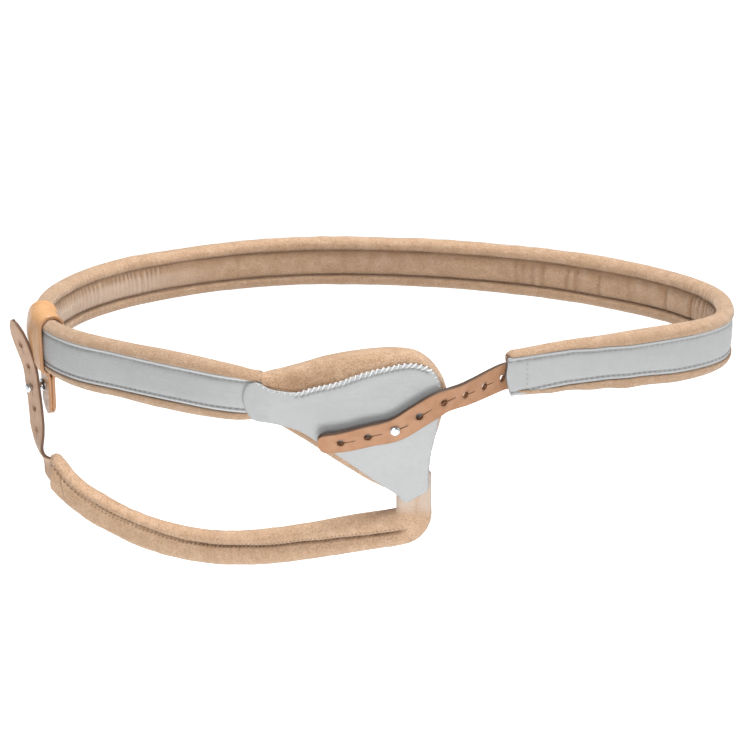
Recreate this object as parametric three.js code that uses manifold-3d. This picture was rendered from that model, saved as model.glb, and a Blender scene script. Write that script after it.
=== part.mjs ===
// A one-sided hernia belt. A padded velour belt goes round the hips and carries a white leather
// facing. Its left end holds a triangular groin pad. A holed strap from the free end buttons on a
// stud of the pad. A padded thigh strap hangs from the pad's tip and buttons on the tongue of a
// leather loop at the right hip.
// Millimetres, +Z up. The wearer faces -Y, and the origin is the middle of the hip loop at the
// belt's mid height.
import * as THREE from "three";
import { mergeVertices } from "three/addons/utils/BufferGeometryUtils.js";
import Module from "manifold-3d";

const wasm = await Module();
wasm.setup();

// Belt
const loopHalfWidth = 185; // middle of the padding, across the hips
const loopHalfDepth = 115; // middle of the padding, front to back
const beltHeight = 29;
const beltThickness = 9.5;
const rollHeight = 9.2; // each padded edge roll
const seamDepth = 1.8; // stitched valleys on the skin side
const coverHeight = 20.5;
const coverThickness = 1.6;
const coverInset = 0.9; // the facing lies this far inside the edge rolls
const coverLip = 2; // from the facing's edge to its stitched line
const coverCrown = 0.4;
const freeEndCut = 3.6; // bevel of the facing's lower corner at the free end

// Pad
const padLength = 97;
const padHeight = 72;
const padCoverThickness = 1.8;
const padCrown = 2.6;
const cushionDepth = 25;
const cushionOverhang = 1.2; // padding that shows beyond the pad's leather
const tongueOverlap = 12.6; // pad leather that lies over the belt's end

// Straps
const strapThickness = 2;
const strapWidth = 12.5;
const frontRootWidth = 14;
const frontTipWidth = 10.5;
const rootLength = 12; // strap inside the pocket of the free end
const frontHolePitch = 13.7;
const thighHolePitch = 12.2;
const holeRadius = 2.25;
const slitWidth = 0.7;
const slitLength = 5;

// Studs
const studHeadRadius = 3;
const studHeadHeight = 2;
const studNeckRadius = 1.4;
const studFlangeRadius = 3.4;
const studFlangeThickness = 1;
const frontStudReach = 3.4; // from the pad's leather to the middle of the strap
const sideStudReach = 6.4; // from the loop's tongue to the middle of the strap
const frontStudPlay = 0.6; // between the strap and the stud's head
const sideStudPlay = 1.7; // more, because the thigh strap hangs askew on its stud

// Loop on the right hip
const loopPlace = 0.809; // share of the belt's length, from its free end
const sliderWidth = 24;
const sliderThickness = 2;
const tongueLength = 28; // below the belt
const tongueThickness = 3.6;
const tongueWidth = 20;
const sideStudDrop = 12.5; // stud below the belt's lower edge

// Padded thigh strap
const tubeWidth = 17.5;
const tubeThickness = 9.5;
const tubeSeamDepth = 2.2;
const tubeSag = 30.5; // lowest stretch below the tube's left end
const tubeBend = 10.2; // radius of the turn below the pad
const neckHigh = 21; // straight stretch above the turn
const strapInTube = 10;

// Clearances
const gap = 0.3;
const wideGap = 0.5; // between pieces that are curved together

const up = new THREE.Vector3(0, 0, 1);
const forward = new THREE.Vector3(0, -1, 0);

const velour = new THREE.MeshStandardMaterial({ color: 0xd9b08c, roughness: 0.95 });
const whiteLeather = new THREE.MeshStandardMaterial({ color: 0xd6d8d8, roughness: 0.5 });
const tanLeather = new THREE.MeshStandardMaterial({ color: 0xc38f69, roughness: 0.6 });
const paleLeather = new THREE.MeshStandardMaterial({ color: 0xd3ae90, roughness: 0.7 });
const loopLeather = new THREE.MeshStandardMaterial({ color: 0xdba873, roughness: 0.45 });
const chrome = new THREE.MeshStandardMaterial({ color: 0xd8dcdf, roughness: 0.15, metalness: 1 });

function lerp(a, b, t) {
  return a + (b - a) * t;
}

function smooth(t) {
  const s = Math.min(1, Math.max(0, t));
  return s * s * (3 - 2 * s);
}

// The value of one column, at a place between the rows of a table that are sorted by their "at".
function column(table, name, at) {
  const after = table.findIndex((row) => row.at >= at);
  if (after === 0) return table[0][name];
  if (after < 0) return table.at(-1)[name];
  const [a, b] = [table[after - 1], table[after]];
  return lerp(a[name], b[name], smooth((at - a.at) / (b.at - a.at)));
}

// Turns the faces round if they point inwards.
function faceOutwards(geometry) {
  const p = geometry.getAttribute("position");
  const corners = geometry.index.array;
  const [a, b, c] = [new THREE.Vector3(), new THREE.Vector3(), new THREE.Vector3()];
  let volume = 0;
  for (let i = 0; i < corners.length; i += 3) {
    a.fromBufferAttribute(p, corners[i]);
    b.fromBufferAttribute(p, corners[i + 1]);
    c.fromBufferAttribute(p, corners[i + 2]);
    volume += a.dot(b.cross(c));
  }
  if (volume < 0) corners.reverse();
  return geometry;
}

// A closed solid through rings of equally many points. The two end outlines run anticlockwise.
function loft(rings, endOutlines) {
  const count = rings[0].length;
  const index = [];
  for (let i = 0; i < rings.length - 1; i++) {
    for (let j = 0; j < count; j++) {
      const k = (j + 1) % count;
      const [a, b] = [i * count + j, i * count + k];
      index.push(a, b, a + count, b, b + count, a + count);
    }
  }
  const last = (rings.length - 1) * count;
  const [first, final] = endOutlines.map((outline) =>
    THREE.ShapeUtils.triangulateShape(outline.map(([x, y]) => new THREE.Vector2(x, y)), []),
  );
  for (const face of first) index.push(face[2], face[1], face[0]);
  for (const face of final) index.push(...face.map((corner) => last + corner));
  const geometry = new THREE.BufferGeometry().setFromPoints(rings.flat());
  return faceOutwards(geometry.setIndex(index));
}

function solidOf(geometry) {
  const bare = geometry.clone();
  bare.deleteAttribute("normal");
  bare.deleteAttribute("uv");
  const merged = mergeVertices(bare, 1e-4);
  return new wasm.Manifold(
    new wasm.Mesh({
      numProp: 3,
      vertProperties: new Float32Array(merged.getAttribute("position").array),
      triVerts: new Uint32Array(merged.index.array),
    }),
  );
}

function geometryOf(solid) {
  const mesh = solid.getMesh();
  return new THREE.BufferGeometry()
    .setAttribute("position", new THREE.BufferAttribute(mesh.vertProperties, 3))
    .setIndex(new THREE.BufferAttribute(mesh.triVerts, 1));
}

function cut(geometry, cutters) {
  return geometryOf(cutters.reduce((left, c) => left.subtract(solidOf(c)), solidOf(geometry)));
}

function lineThrough(points) {
  const line = new THREE.CatmullRomCurve3(points, false, "centripetal");
  line.arcLengthDivisions = 1200;
  return line;
}

// The share of a line's length at which it comes closest to a point.
function nearest(line, point) {
  const tries = 1200;
  let best = 0;
  for (let i = 1; i <= tries; i++) {
    const [here, there] = [line.getPointAt(i / tries), line.getPointAt(best)];
    if (here.distanceTo(point) < there.distanceTo(point)) best = i / tries;
  }
  return best;
}

// A flat shape in a plane, made as thick as asked and placed by its two directions and its middle.
function plate(shape, thickness, origin, across, high) {
  const options = { depth: thickness, bevelEnabled: false, curveSegments: 6 };
  const geometry = new THREE.ExtrudeGeometry(shape, options).translate(0, 0, -thickness / 2);
  const normal = new THREE.Vector3().crossVectors(across, high);
  const place = new THREE.Matrix4().makeBasis(across, high, normal).setPosition(origin);
  return geometry.applyMatrix4(place);
}

// Belt, seen from above, from its free front end round the back to its end under the pad
const beltPlan = [
  { across: 0.352, depth: -0.76 },
  { across: 0.55, depth: -0.612 },
  { across: 0.756, depth: -0.465 },
  { across: 0.915, depth: -0.324 },
  { across: 0.978, depth: -0.199 },
  { across: 0.999, depth: 0.026 },
  { across: 0.972, depth: 0.187 },
  { across: 0.892, depth: 0.378 },
  { across: 0.726, depth: 0.599 },
  { across: 0.494, depth: 0.805 },
  { across: 0.157, depth: 0.954 },
  { across: -0.175, depth: 1.0 },
  { across: -0.437, depth: 0.933 },
  { across: -0.643, depth: 0.796 },
  { across: -0.813, depth: 0.609 },
  { across: -0.928, depth: 0.393 },
  { across: -0.993, depth: 0.12 },
  { across: -0.995, depth: -0.09 },
  { across: -0.957, depth: -0.32 },
  { across: -0.862, depth: -0.505 },
  { across: -0.731, depth: -0.64 },
  { across: -0.572, depth: -0.798 },
  { across: -0.43, depth: -0.915 },
  { across: -0.31, depth: -0.962 },
];
// The belt's section along its length, as shares of its full sizes. The lift is a share of its height.
const beltTaper = [
  { at: 0, height: 0.71, thickness: 0.74, facing: 0.84, lift: 0.05 },
  { at: 0.035, height: 0.79, thickness: 0.84, facing: 0.83, lift: 0.04 },
  { at: 0.08, height: 0.92, thickness: 0.95, facing: 0.86, lift: 0.02 },
  { at: 0.13, height: 1, thickness: 1, facing: 0.98, lift: 0 },
  { at: 0.9, height: 1, thickness: 1, facing: 0.98, lift: 0 },
  { at: 1, height: 0.92, thickness: 0.92, facing: 0.92, lift: 0 },
];
const beltLine = lineThrough(
  beltPlan.map((p) => new THREE.Vector3(p.across * loopHalfWidth, p.depth * loopHalfDepth, 0)),
);
const beltLength = beltLine.getLength();

function beltFrame(at) {
  const along = beltLine.getTangentAt(at).normalize();
  const out = new THREE.Vector3().crossVectors(along, up).normalize();
  const point = beltLine.getPointAt(at);
  point.z = beltHeight * column(beltTaper, "lift", at);
  return { point, along, out };
}

// A point by its distances outward, up and along from a frame of the belt.
function fromFrame(frame, outward, high, along = 0) {
  const { point, out } = frame;
  return point
    .clone()
    .addScaledVector(out, outward)
    .addScaledVector(up, high)
    .addScaledVector(frame.along, along);
}

function beltSizes(at) {
  const halfThickness = (beltThickness * column(beltTaper, "thickness", at)) / 2;
  return {
    halfHeight: (beltHeight * column(beltTaper, "height", at)) / 2,
    halfThickness,
    halfFacing: (coverHeight * column(beltTaper, "facing", at)) / 2,
    facingFront: halfThickness - coverInset,
    facingBack: halfThickness - coverInset - coverThickness,
  };
}

// How much deeper the padding's bed is at the free end, where the strap's root lies in it.
const pocketLength = rootLength + 1;
const pocketSlope = 4;
function pocketDepth(at) {
  return (strapThickness + 2 * gap) * (1 - smooth((at * beltLength - pocketLength) / pocketSlope));
}

// The padding's outline: a bed for the facing, a roll at each edge, and on the skin side a low
// middle roll between two stitched valleys.
function sleeveOutline(at) {
  const { halfHeight, halfThickness, halfFacing, facingBack } = beltSizes(at);
  const roll = Math.min(rollHeight, halfHeight * 0.64) / 2;
  const rollMiddle = halfHeight - roll;
  const bed = facingBack - gap - pocketDepth(at);
  const bedEdge = halfFacing + gap;
  const start = Math.asin(Math.min(0.9, Math.max(-0.9, (bedEdge - rollMiddle) / roll)));
  const end = Math.PI + Math.asin(0.4);
  const valley = rollMiddle - roll * 0.75;
  const upper = [[bed, bedEdge]];
  for (let i = 0; i <= 6; i++) {
    const angle = lerp(start, end, i / 6);
    upper.push([halfThickness * Math.cos(angle), rollMiddle + roll * Math.sin(angle)]);
  }
  upper.push([Math.min(seamDepth - halfThickness, bed - 1.2), valley]);
  for (const share of [0.85, 0.6, 0.3]) {
    upper.push([-halfThickness * lerp(1.02, 0.78, smooth(share)), valley * share]);
  }
  const lower = upper.map(([outward, high]) => [outward, -high]).reverse();
  return [...upper, [-halfThickness * 1.02, 0], ...lower];
}

// Shares of a padded piece's section next to its two rounded ends.
const endRound = 2.4;
function paddedStations(count, length) {
  const ends = [
    { at: 0, swell: 0.72 },
    { at: (0.35 * endRound) / length, swell: 0.92 },
  ];
  const middle = [];
  for (let i = 0; i <= count; i++) {
    middle.push({ at: lerp(endRound / length, 1 - endRound / length, i / count), swell: 1 });
  }
  return [...ends, ...middle, ...ends.map((e) => ({ at: 1 - e.at, swell: e.swell })).reverse()];
}

// A point of the padding's outline, drawn in by the swell near a rounded end. What lies beside the
// facing stays beside it.
function drawnIn([outward, high], swell, bed, bedEdge) {
  const past = Math.max(0, Math.abs(high) - bedEdge);
  const pivot = outward > bed ? bed : bed - 1;
  return [lerp(pivot, outward, swell), Math.sign(high) * (Math.abs(high) - past * 2 * (1 - swell))];
}

const pocketStations = [pocketLength / 2, pocketLength, pocketLength + pocketSlope].map(
  (distance) => ({ at: distance / beltLength, swell: 1 }),
);
const beltStations = [...paddedStations(56, beltLength), ...pocketStations];
beltStations.sort((a, b) => a.at - b.at);
function beltSleeve() {
  const outlines = beltStations.map(({ at, swell }) => {
    const { halfFacing, facingBack } = beltSizes(at);
    const bed = facingBack - gap - pocketDepth(at);
    return sleeveOutline(at).map((p) => drawnIn(p, swell, bed, halfFacing + gap));
  });
  const rings = outlines.map((outline, i) =>
    outline.map(([outward, high]) => fromFrame(beltFrame(beltStations[i].at), outward, high)),
  );
  return loft(rings, [outlines[0], outlines.at(-1)]);
}

// The facing: a leather strip with a stitched line inside each edge and a slightly crowned middle.
function coverOutline(at) {
  const { halfFacing, facingFront, facingBack } = beltSizes(at);
  const stitched = halfFacing - coverLip;
  const half = [
    [facingFront, halfFacing],
    [facingFront, stitched + 0.7],
    [facingFront - coverCrown, stitched],
    [facingFront, stitched - 0.8],
    [facingFront + coverCrown * 0.7, stitched * 0.5],
  ];
  const lower = half.map(([outward, high]) => [outward, -high]).reverse();
  const back = [
    [facingBack, -halfFacing],
    [facingBack, halfFacing],
  ];
  return [...half, [facingFront + coverCrown, 0], ...lower, ...back].reverse();
}

function beltCover() {
  const rings = beltStations.map(({ at }) =>
    coverOutline(at).map(([outward, high]) => fromFrame(beltFrame(at), outward, high)),
  );
  const frame = beltFrame(0);
  const low = beltSizes(0).halfFacing;
  const corner = new THREE.Shape();
  corner.moveTo(-freeEndCut, 0);
  corner.lineTo(0, 0);
  corner.lineTo(freeEndCut * 2, -2 * low);
  corner.lineTo(-freeEndCut, -2 * low);
  corner.closePath();
  const strip = loft(rings, [coverOutline(0), coverOutline(1)]);
  return cut(strip, [plate(corner, beltThickness * 2, frame.point, frame.along, up)]);
}

// Pad. Its own places are shares of its length and height, from its left end and the belt's middle.
const beltEnd = beltFrame(1);
const padLeft = beltEnd.point.x - tongueOverlap;
const padCoverOutline = [
  { across: 0, high: -0.03 },
  { across: 0.018, high: 0.07 },
  { across: 0.07, high: 0.108 },
  { across: 0.15, high: 0.065 },
  { across: 0.27, high: 0.045 },
  { across: 0.36, high: 0.08 },
  { across: 0.48, high: 0.12 },
  { across: 0.6, high: 0.18 },
  { across: 0.73, high: 0.225 },
  { across: 0.86, high: 0.25 },
  { across: 0.95, high: 0.21 },
  { across: 0.995, high: 0.12 },
  { across: 1, high: -0.03 },
  { across: 0.985, high: -0.22 },
  { across: 0.955, high: -0.42 },
  { across: 0.94, high: -0.6 },
  { across: 0.935, high: -0.69 },
  { across: 0.85, high: -0.75 },
  { across: 0.78, high: -0.705 },
  { across: 0.68, high: -0.62 },
  { across: 0.55, high: -0.49 },
  { across: 0.42, high: -0.36 },
  { across: 0.28, high: -0.235 },
  { across: 0.15, high: -0.165 },
  { across: 0.04, high: -0.14 },
];
const cushionOutline = [
  { across: 0.18, high: 0.13 },
  { across: 0.27, high: 0.175 },
  { across: 0.4, high: 0.23 },
  { across: 0.58, high: 0.278 },
  { across: 0.76, high: 0.3 },
  { across: 0.89, high: 0.27 },
  { across: 0.975, high: 0.16 },
  { across: 1.02, high: 0 },
  { across: 0.985, high: -0.2 },
  { across: 0.945, high: -0.4 },
  { across: 0.925, high: -0.58 },
  { across: 0.88, high: -0.68 },
  { across: 0.78, high: -0.67 },
  { across: 0.65, high: -0.59 },
  { across: 0.5, high: -0.455 },
  { across: 0.34, high: -0.305 },
  { across: 0.2, high: -0.2 },
  { across: 0.145, high: -0.1 },
  { across: 0.145, high: 0.04 },
];
const padMiddle = { across: 0.6, high: -0.12 };

function padPlace(across, high) {
  return new THREE.Vector3(padLeft + across * padLength, 0, high * padHeight);
}

// The back of the pad's leather. Its tongue bends back with the belt's end.
function padBack(across) {
  const overBelt = Math.max(0, tongueOverlap - across * padLength);
  const at = 1 - overBelt / beltLength;
  const front = beltSizes(at).halfThickness + wideGap;
  return fromFrame(beltFrame(at), front, 0).y;
}

// The front of the pad's leather, crowned towards the pad's middle.
function padFront(across, high) {
  const away = Math.hypot(across - padMiddle.across, high - padMiddle.high) / 0.5;
  return padBack(across) - padCoverThickness - padCrown * (1 - smooth(away));
}

function closedOutline(table, samples, overhang) {
  const points = table.map((p) => new THREE.Vector3(p.across * padLength, 0, p.high * padHeight));
  const line = new THREE.CatmullRomCurve3(points, true, "centripetal");
  const middle = new THREE.Vector3(padMiddle.across * padLength, 0, padMiddle.high * padHeight);
  return line.getSpacedPoints(samples).slice(1).reverse().map((p) => {
    const reach = p.sub(middle);
    return reach.setLength(reach.length() + overhang).add(middle);
  });
}

function flat(ring) {
  return ring.map((p) => [p.x, p.z]);
}

function padRing(outline, share, depthAt) {
  return outline.map((p) => {
    const across = lerp(padMiddle.across, p.x / padLength, share);
    const high = lerp(padMiddle.high, p.z / padHeight, share);
    return padPlace(across, high).setY(depthAt(across, high));
  });
}

// Rings of the pad's leather, from the middle of its back round its edge to the middle of its face
const padCoverProfile = [
  { share: 0.2, depth: 1 },
  { share: 0.45, depth: 1 },
  { share: 0.7, depth: 1 },
  { share: 0.9, depth: 1 },
  { share: 0.985, depth: 1 },
  { share: 1, depth: 0.75 },
  { share: 1, depth: 0.25 },
  { share: 0.985, depth: 0 },
  { share: 0.9, depth: 0 },
  { share: 0.7, depth: 0 },
  { share: 0.45, depth: 0 },
  { share: 0.2, depth: 0 },
];

function padCover() {
  const outline = closedOutline(padCoverOutline, 52, 0);
  const rings = padCoverProfile.map(({ share, depth }) =>
    padRing(outline, share, (across, high) => padFront(across, high) + padCoverThickness * depth),
  );
  return loft(rings, [flat(rings[0]), flat(rings.at(-1))]);
}

// Rings of the padding, from its flat side behind the leather to the top of its dome
const cushionProfile = [
  { share: 0.2, depth: 0 },
  { share: 0.45, depth: 0 },
  { share: 0.7, depth: 0 },
  { share: 0.93, depth: 0.01 },
  { share: 0.99, depth: 0.1 },
  { share: 1, depth: 0.26 },
  { share: 0.97, depth: 0.46 },
  { share: 0.88, depth: 0.68 },
  { share: 0.72, depth: 0.85 },
  { share: 0.46, depth: 0.96 },
  { share: 0.15, depth: 1 },
];

function padCushion(pocket) {
  const outline = closedOutline(cushionOutline, 46, cushionOverhang);
  const rings = cushionProfile.map((row) =>
    padRing(outline, row.share, (across, high) => {
      const front = padFront(across, high) + padCoverThickness + gap;
      const back = padBack(1) + cushionDepth;
      return lerp(front, back, row.depth);
    }),
  );
  const besideBelt = new THREE.BoxGeometry(padLength, padHeight, beltThickness * 8);
  besideBelt.translate(gap - padLength / 2, 0, 0);
  besideBelt.applyMatrix4(new THREE.Matrix4().makeBasis(beltEnd.along, up, beltEnd.out));
  besideBelt.translate(beltEnd.point.x, beltEnd.point.y, beltEnd.point.z);
  const dome = loft(rings, [flat(rings[0]), flat(rings.at(-1))]);
  return cut(dome, [besideBelt, pocket]);
}

// Bands: straps and the padded thigh strap run along a line, with a face turned to a direction
// that is looked up in a table by the share of the line's length.
function bandFrame(line, faces, at) {
  const along = line.getTangentAt(at).normalize();
  const face = new THREE.Vector3(...["x", "y", "z"].map((axis) => column(faces, axis, at)));
  face.addScaledVector(along, -face.dot(along)).normalize();
  const side = new THREE.Vector3().crossVectors(face, along).normalize();
  return { point: line.getPointAt(at), along, face, side };
}

// The room for the last stretch of a band, a little longer than the band.
function pocketFor(line, faces, from, outline) {
  const frames = [0, 0.2, 0.4, 0.6, 0.8, 1].map((share) => bandFrame(line, faces, lerp(from, 1, share)));
  frames.at(-1).point.addScaledVector(frames.at(-1).along, gap);
  return band(frames, frames.map(() => outline));
}

function facing(at, direction) {
  return { at, x: direction.x, y: direction.y, z: direction.z };
}

// A band's solid, with one outline (out of its face, across its width) for each of its frames.
function band(frames, outlines) {
  const rings = frames.map(({ point, face, side }, i) =>
    outlines[i].map(([out, high]) =>
      point.clone().addScaledVector(face, out).addScaledVector(side, high),
    ),
  );
  return loft(rings, [outlines[0], outlines.at(-1)]);
}

function strapOutline(width, thickness) {
  const [w, t] = [width / 2, thickness / 2];
  return [
    [t, w],
    [-t, w],
    [-t, -w],
    [t, -w],
  ];
}

// A round hole with a slit towards one end of its strap.
function keyhole(frame, towards) {
  const half = Math.asin(slitWidth / 2 / holeRadius);
  const shape = new THREE.Shape();
  shape.absarc(0, 0, holeRadius, half, 2 * Math.PI - half, false);
  shape.lineTo(holeRadius + slitLength, -slitWidth / 2);
  shape.lineTo(holeRadius + slitLength, slitWidth / 2);
  shape.closePath();
  const across = frame.along.clone().multiplyScalar(towards);
  const high = new THREE.Vector3().crossVectors(frame.face, across);
  return plate(shape, strapThickness * 3, frame.point, across, high);
}

// A strap with a rounded tip at the line's start and keyholes.
function strap(line, faces, widthAt, holes, towards) {
  const length = line.getLength();
  const tip = strapWidth * 0.5;
  const places = [0, 0.06, 0.2, 0.45, 0.75, 1].map((share) => (share * tip) / length);
  const count = 34;
  for (let i = 1; i <= count; i++) places.push(lerp(tip / length, 1, i / count));
  const outlines = places.map((at) => {
    const left = 1 - Math.min(1, (at * length) / tip);
    return strapOutline(widthAt(at) * Math.max(0.25, Math.sqrt(1 - left * left)), strapThickness);
  });
  const whole = band(places.map((at) => bandFrame(line, faces, at)), outlines);
  return cut(whole, holes.map((at) => keyhole(bandFrame(line, faces, at), towards)));
}

// Places of holes in a strap: some towards its tip and some away from it, with one on the stud.
function holePlaces(line, studAt, pitch, tipward, rootward) {
  const step = pitch / line.getLength();
  const places = [];
  for (let i = -tipward; i <= rootward; i++) places.push(studAt + i * step);
  return places;
}

// A button stud: a flange on the leather, a neck through the strap's hole, and a rounded head.
function stud(base, axis, reach, play) {
  const headBottom = reach + strapThickness / 2 + play;
  const profile = [
    [0, gap],
    [studFlangeRadius, gap],
    [studFlangeRadius - 0.4, gap + studFlangeThickness],
    [studNeckRadius, gap + studFlangeThickness],
    [studNeckRadius, headBottom],
    [studHeadRadius * 0.85, headBottom],
    [studHeadRadius, headBottom + studHeadHeight * 0.35],
    [studHeadRadius * 0.9, headBottom + studHeadHeight * 0.7],
    [studHeadRadius * 0.55, headBottom + studHeadHeight * 0.95],
    [0, headBottom + studHeadHeight],
  ];
  const geometry = new THREE.LatheGeometry(profile.map(([r, h]) => new THREE.Vector2(r, h)), 16);
  const turn = new THREE.Quaternion().setFromUnitVectors(new THREE.Vector3(0, 1, 0), axis);
  return geometryOf(solidOf(geometry.applyQuaternion(turn).translate(base.x, base.y, base.z)));
}

// Front strap: over the pad's stud, across the open front, and into the free end's pocket
const frontStudPlace = { across: 0.77, high: -0.195 };
const frontStudBase = padPlace(frontStudPlace.across, frontStudPlace.high);
frontStudBase.y = padFront(frontStudPlace.across - studFlangeRadius / padLength, frontStudPlace.high);
const frontCrossing = frontStudBase.clone().addScaledVector(forward, frontStudReach);
const padEdgeCrossing = padPlace(1, -0.015).setY(padFront(1, 0) - strapThickness / 2 - 0.9);
// Shares of the hole pitch from the stud
const frontTipPath = [
  { across: -2.75, depth: 0.03, high: -0.58 },
  { across: -1.82, depth: -0.02, high: -0.44 },
  { across: -0.93, depth: -0.04, high: -0.21 },
  { across: 0, depth: 0, high: 0 },
  { across: 0.86, depth: 0.05, high: 0.52 },
];
// The middle of the free end's pocket, some way in from the end.
function inPocket(distance) {
  const at = distance / beltLength;
  const middle = beltSizes(at).facingBack - 1.5 * gap - strapThickness / 2;
  return fromFrame(beltFrame(at), middle, 0);
}
const rootMouth = inPocket(0);
const frontStrapLine = lineThrough([
  ...frontTipPath.map((p) =>
    new THREE.Vector3(p.across, p.depth, p.high).multiplyScalar(frontHolePitch).add(frontCrossing),
  ),
  padEdgeCrossing,
  padEdgeCrossing.clone().lerp(rootMouth, 0.4).addScaledVector(forward, 1.6),
  padEdgeCrossing.clone().lerp(rootMouth, 0.8).addScaledVector(forward, 1.2),
  inPocket(1),
  inPocket(rootLength / 2),
  inPocket(rootLength),
]);
const frontStudAt = nearest(frontStrapLine, frontCrossing);
const frontMouthAt = nearest(frontStrapLine, rootMouth);
const frontFaces = [
  facing(0, new THREE.Vector3(0, -0.9, -0.44)),
  facing(frontStudAt * 0.6, new THREE.Vector3(0, -0.96, -0.28)),
  facing(frontStudAt, forward),
  facing(frontMouthAt, beltFrame(0).out),
  facing(1, beltFrame(rootLength / beltLength).out),
];

function frontStrap() {
  const widthAt = (at) => lerp(frontTipWidth, frontRootWidth, smooth(at / frontMouthAt));
  const holes = holePlaces(frontStrapLine, frontStudAt, frontHolePitch, 2, 5);
  return strap(frontStrapLine, frontFaces, widthAt, holes, 1);
}

// Loop on the right hip: a leather sleeve round the belt, with a tongue that hangs below it
const sliderFrame = beltFrame(loopPlace);

function flatInLoop(ring) {
  return ring.map((p) => [p.clone().sub(sliderFrame.point).dot(sliderFrame.out), p.z]);
}

// The loop's leather lies this far from the belt: its inside, or its outside.
function loopBody(extra, overrun) {
  const rings = [];
  const reach = sliderWidth / 2 + overrun;
  for (let i = 0; i <= 6; i++) {
    const at = loopPlace + lerp(-reach, reach, i / 6) / beltLength;
    const { halfHeight, halfThickness } = beltSizes(at);
    const [t, h] = [halfThickness * 1.02 + extra, halfHeight + extra];
    const corner = Math.min(rollHeight / 2 + extra, t);
    const ring = [];
    for (let j = 0; j < 24; j++) {
      const angle = ((j + 0.5) / 24) * 2 * Math.PI;
      const outward = Math.sign(Math.cos(angle)) * (t - corner) + corner * Math.cos(angle);
      const high = Math.sign(Math.sin(angle)) * (h - corner) + corner * Math.sin(angle);
      ring.push(fromFrame(beltFrame(at), outward, high));
    }
    rings.push(ring);
  }
  return loft(rings, [flatInLoop(rings[0]), flatInLoop(rings.at(-1))]);
}

const tongueTop = -beltSizes(loopPlace).halfHeight - wideGap - sliderThickness / 2;
const tongueTip = -beltSizes(loopPlace).halfHeight - tongueLength;

function sliderLoop() {
  const outside = solidOf(loopBody(wideGap + sliderThickness, 0));
  const inside = solidOf(loopBody(wideGap, 2));
  const w = tongueWidth / 2;
  const shape = new THREE.Shape();
  shape.moveTo(-w, tongueTop);
  shape.lineTo(-w * 0.92, tongueTip + w);
  shape.quadraticCurveTo(-w * 0.8, tongueTip, 0, tongueTip);
  shape.quadraticCurveTo(w * 0.8, tongueTip, w * 0.92, tongueTip + w);
  shape.lineTo(w, tongueTop);
  shape.closePath();
  const tongue = plate(shape, tongueThickness, sliderFrame.point, sliderFrame.along, up);
  return geometryOf(outside.subtract(inside).add(solidOf(tongue)));
}

// Thigh strap: from its tip down over the side stud and into the padded tube
const sideStudHigh = -beltSizes(loopPlace).halfHeight - sideStudDrop;
const sideStudBase = fromFrame(sliderFrame, tongueThickness / 2, sideStudHigh);
const sideCrossing = sideStudBase.clone().addScaledVector(sliderFrame.out, sideStudReach);
// Shares of the hole pitch from the stud
const thighStrapPath = [
  { across: -0.74, depth: 0.05, high: 3.1 },
  { across: -0.43, depth: 0.05, high: 1.9 },
  { across: -0.15, depth: 0.02, high: 0.9 },
  { across: 0, depth: 0, high: 0 },
  { across: 0.07, depth: 0, high: -1.2 },
  { across: 0.1, depth: -0.05, high: -2.1 },
  { across: 0.19, depth: -0.18, high: -2.95 },
];
const tubeMouth = new THREE.Vector3(0.8, -0.5, -3.78).multiplyScalar(thighHolePitch).add(sideCrossing);

// Padded thigh strap: it hangs in a curve from its mouth, turns upward and ends behind the pad
const neckAcross = 0.87;
const neckFoot = padPlace(neckAcross, -0.72 - neckHigh / padHeight / 2 + 0.01);
neckFoot.y = padBack(neckAcross) + gap + tubeThickness / 2;
const neckTop = neckFoot.clone().addScaledVector(up, neckHigh);
const chord = neckFoot.clone().sub(tubeMouth).setZ(0);
const chordSide = chord.clone().cross(up).normalize();
const riseAngle = THREE.MathUtils.degToRad(23);
const turnStart = neckFoot
  .clone()
  .addScaledVector(chord.clone().normalize(), -tubeBend * (1 - Math.sin(riseAngle)))
  .addScaledVector(up, -tubeBend * Math.cos(riseAngle));
// Shares of the way from the mouth to the turn, and of the sag below a straight line
const tubeHang = [
  { along: 0, low: 0 },
  { along: 0.035, low: 0.25 },
  { along: 0.1, low: 0.54 },
  { along: 0.19, low: 0.8 },
  { along: 0.32, low: 0.98 },
  { along: 0.45, low: 1 },
  { along: 0.6, low: 0.84 },
  { along: 0.75, low: 0.55 },
  { along: 0.9, low: 0.22 },
];
const tubeLine = lineThrough([
  ...tubeHang.map((p) => tubeMouth.clone().lerp(turnStart, p.along).addScaledVector(up, -p.low * tubeSag)),
  ...[0, 0.25, 0.5, 0.75].map((share) => {
    const angle = lerp(riseAngle, Math.PI / 2, share);
    return neckFoot
      .clone()
      .addScaledVector(chord.clone().normalize(), -tubeBend * (1 - Math.sin(angle)))
      .addScaledVector(up, -tubeBend * Math.cos(angle));
  }),
  neckFoot,
  neckFoot.clone().lerp(neckTop, 0.5),
  neckTop,
]);
const neckAt = nearest(tubeLine, neckFoot);
const tubeFaces = [
  facing(0, chordSide),
  facing(neckAt * 0.82, chordSide),
  facing(neckAt, forward),
];

function tubeOutline(width, thickness, groove) {
  const [w, t] = [width / 2, thickness / 2];
  const corner = t * 0.8;
  const upper = [
    [t - groove * 0.2, 0.9],
    [t, (w - corner) * 0.8],
  ];
  for (const degrees of [20, 50, 80, 110, 140, 165]) {
    const angle = THREE.MathUtils.degToRad(degrees);
    upper.push([(t - corner) * Math.sign(Math.cos(angle)) + corner * Math.cos(angle),
      w - corner + corner * Math.sin(angle)]);
  }
  upper.push([-t, (w - corner) * 0.7]);
  const lower = upper.map(([out, high]) => [out, -high]).reverse();
  return [[t - groove, 0], ...upper, ...lower];
}

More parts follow.
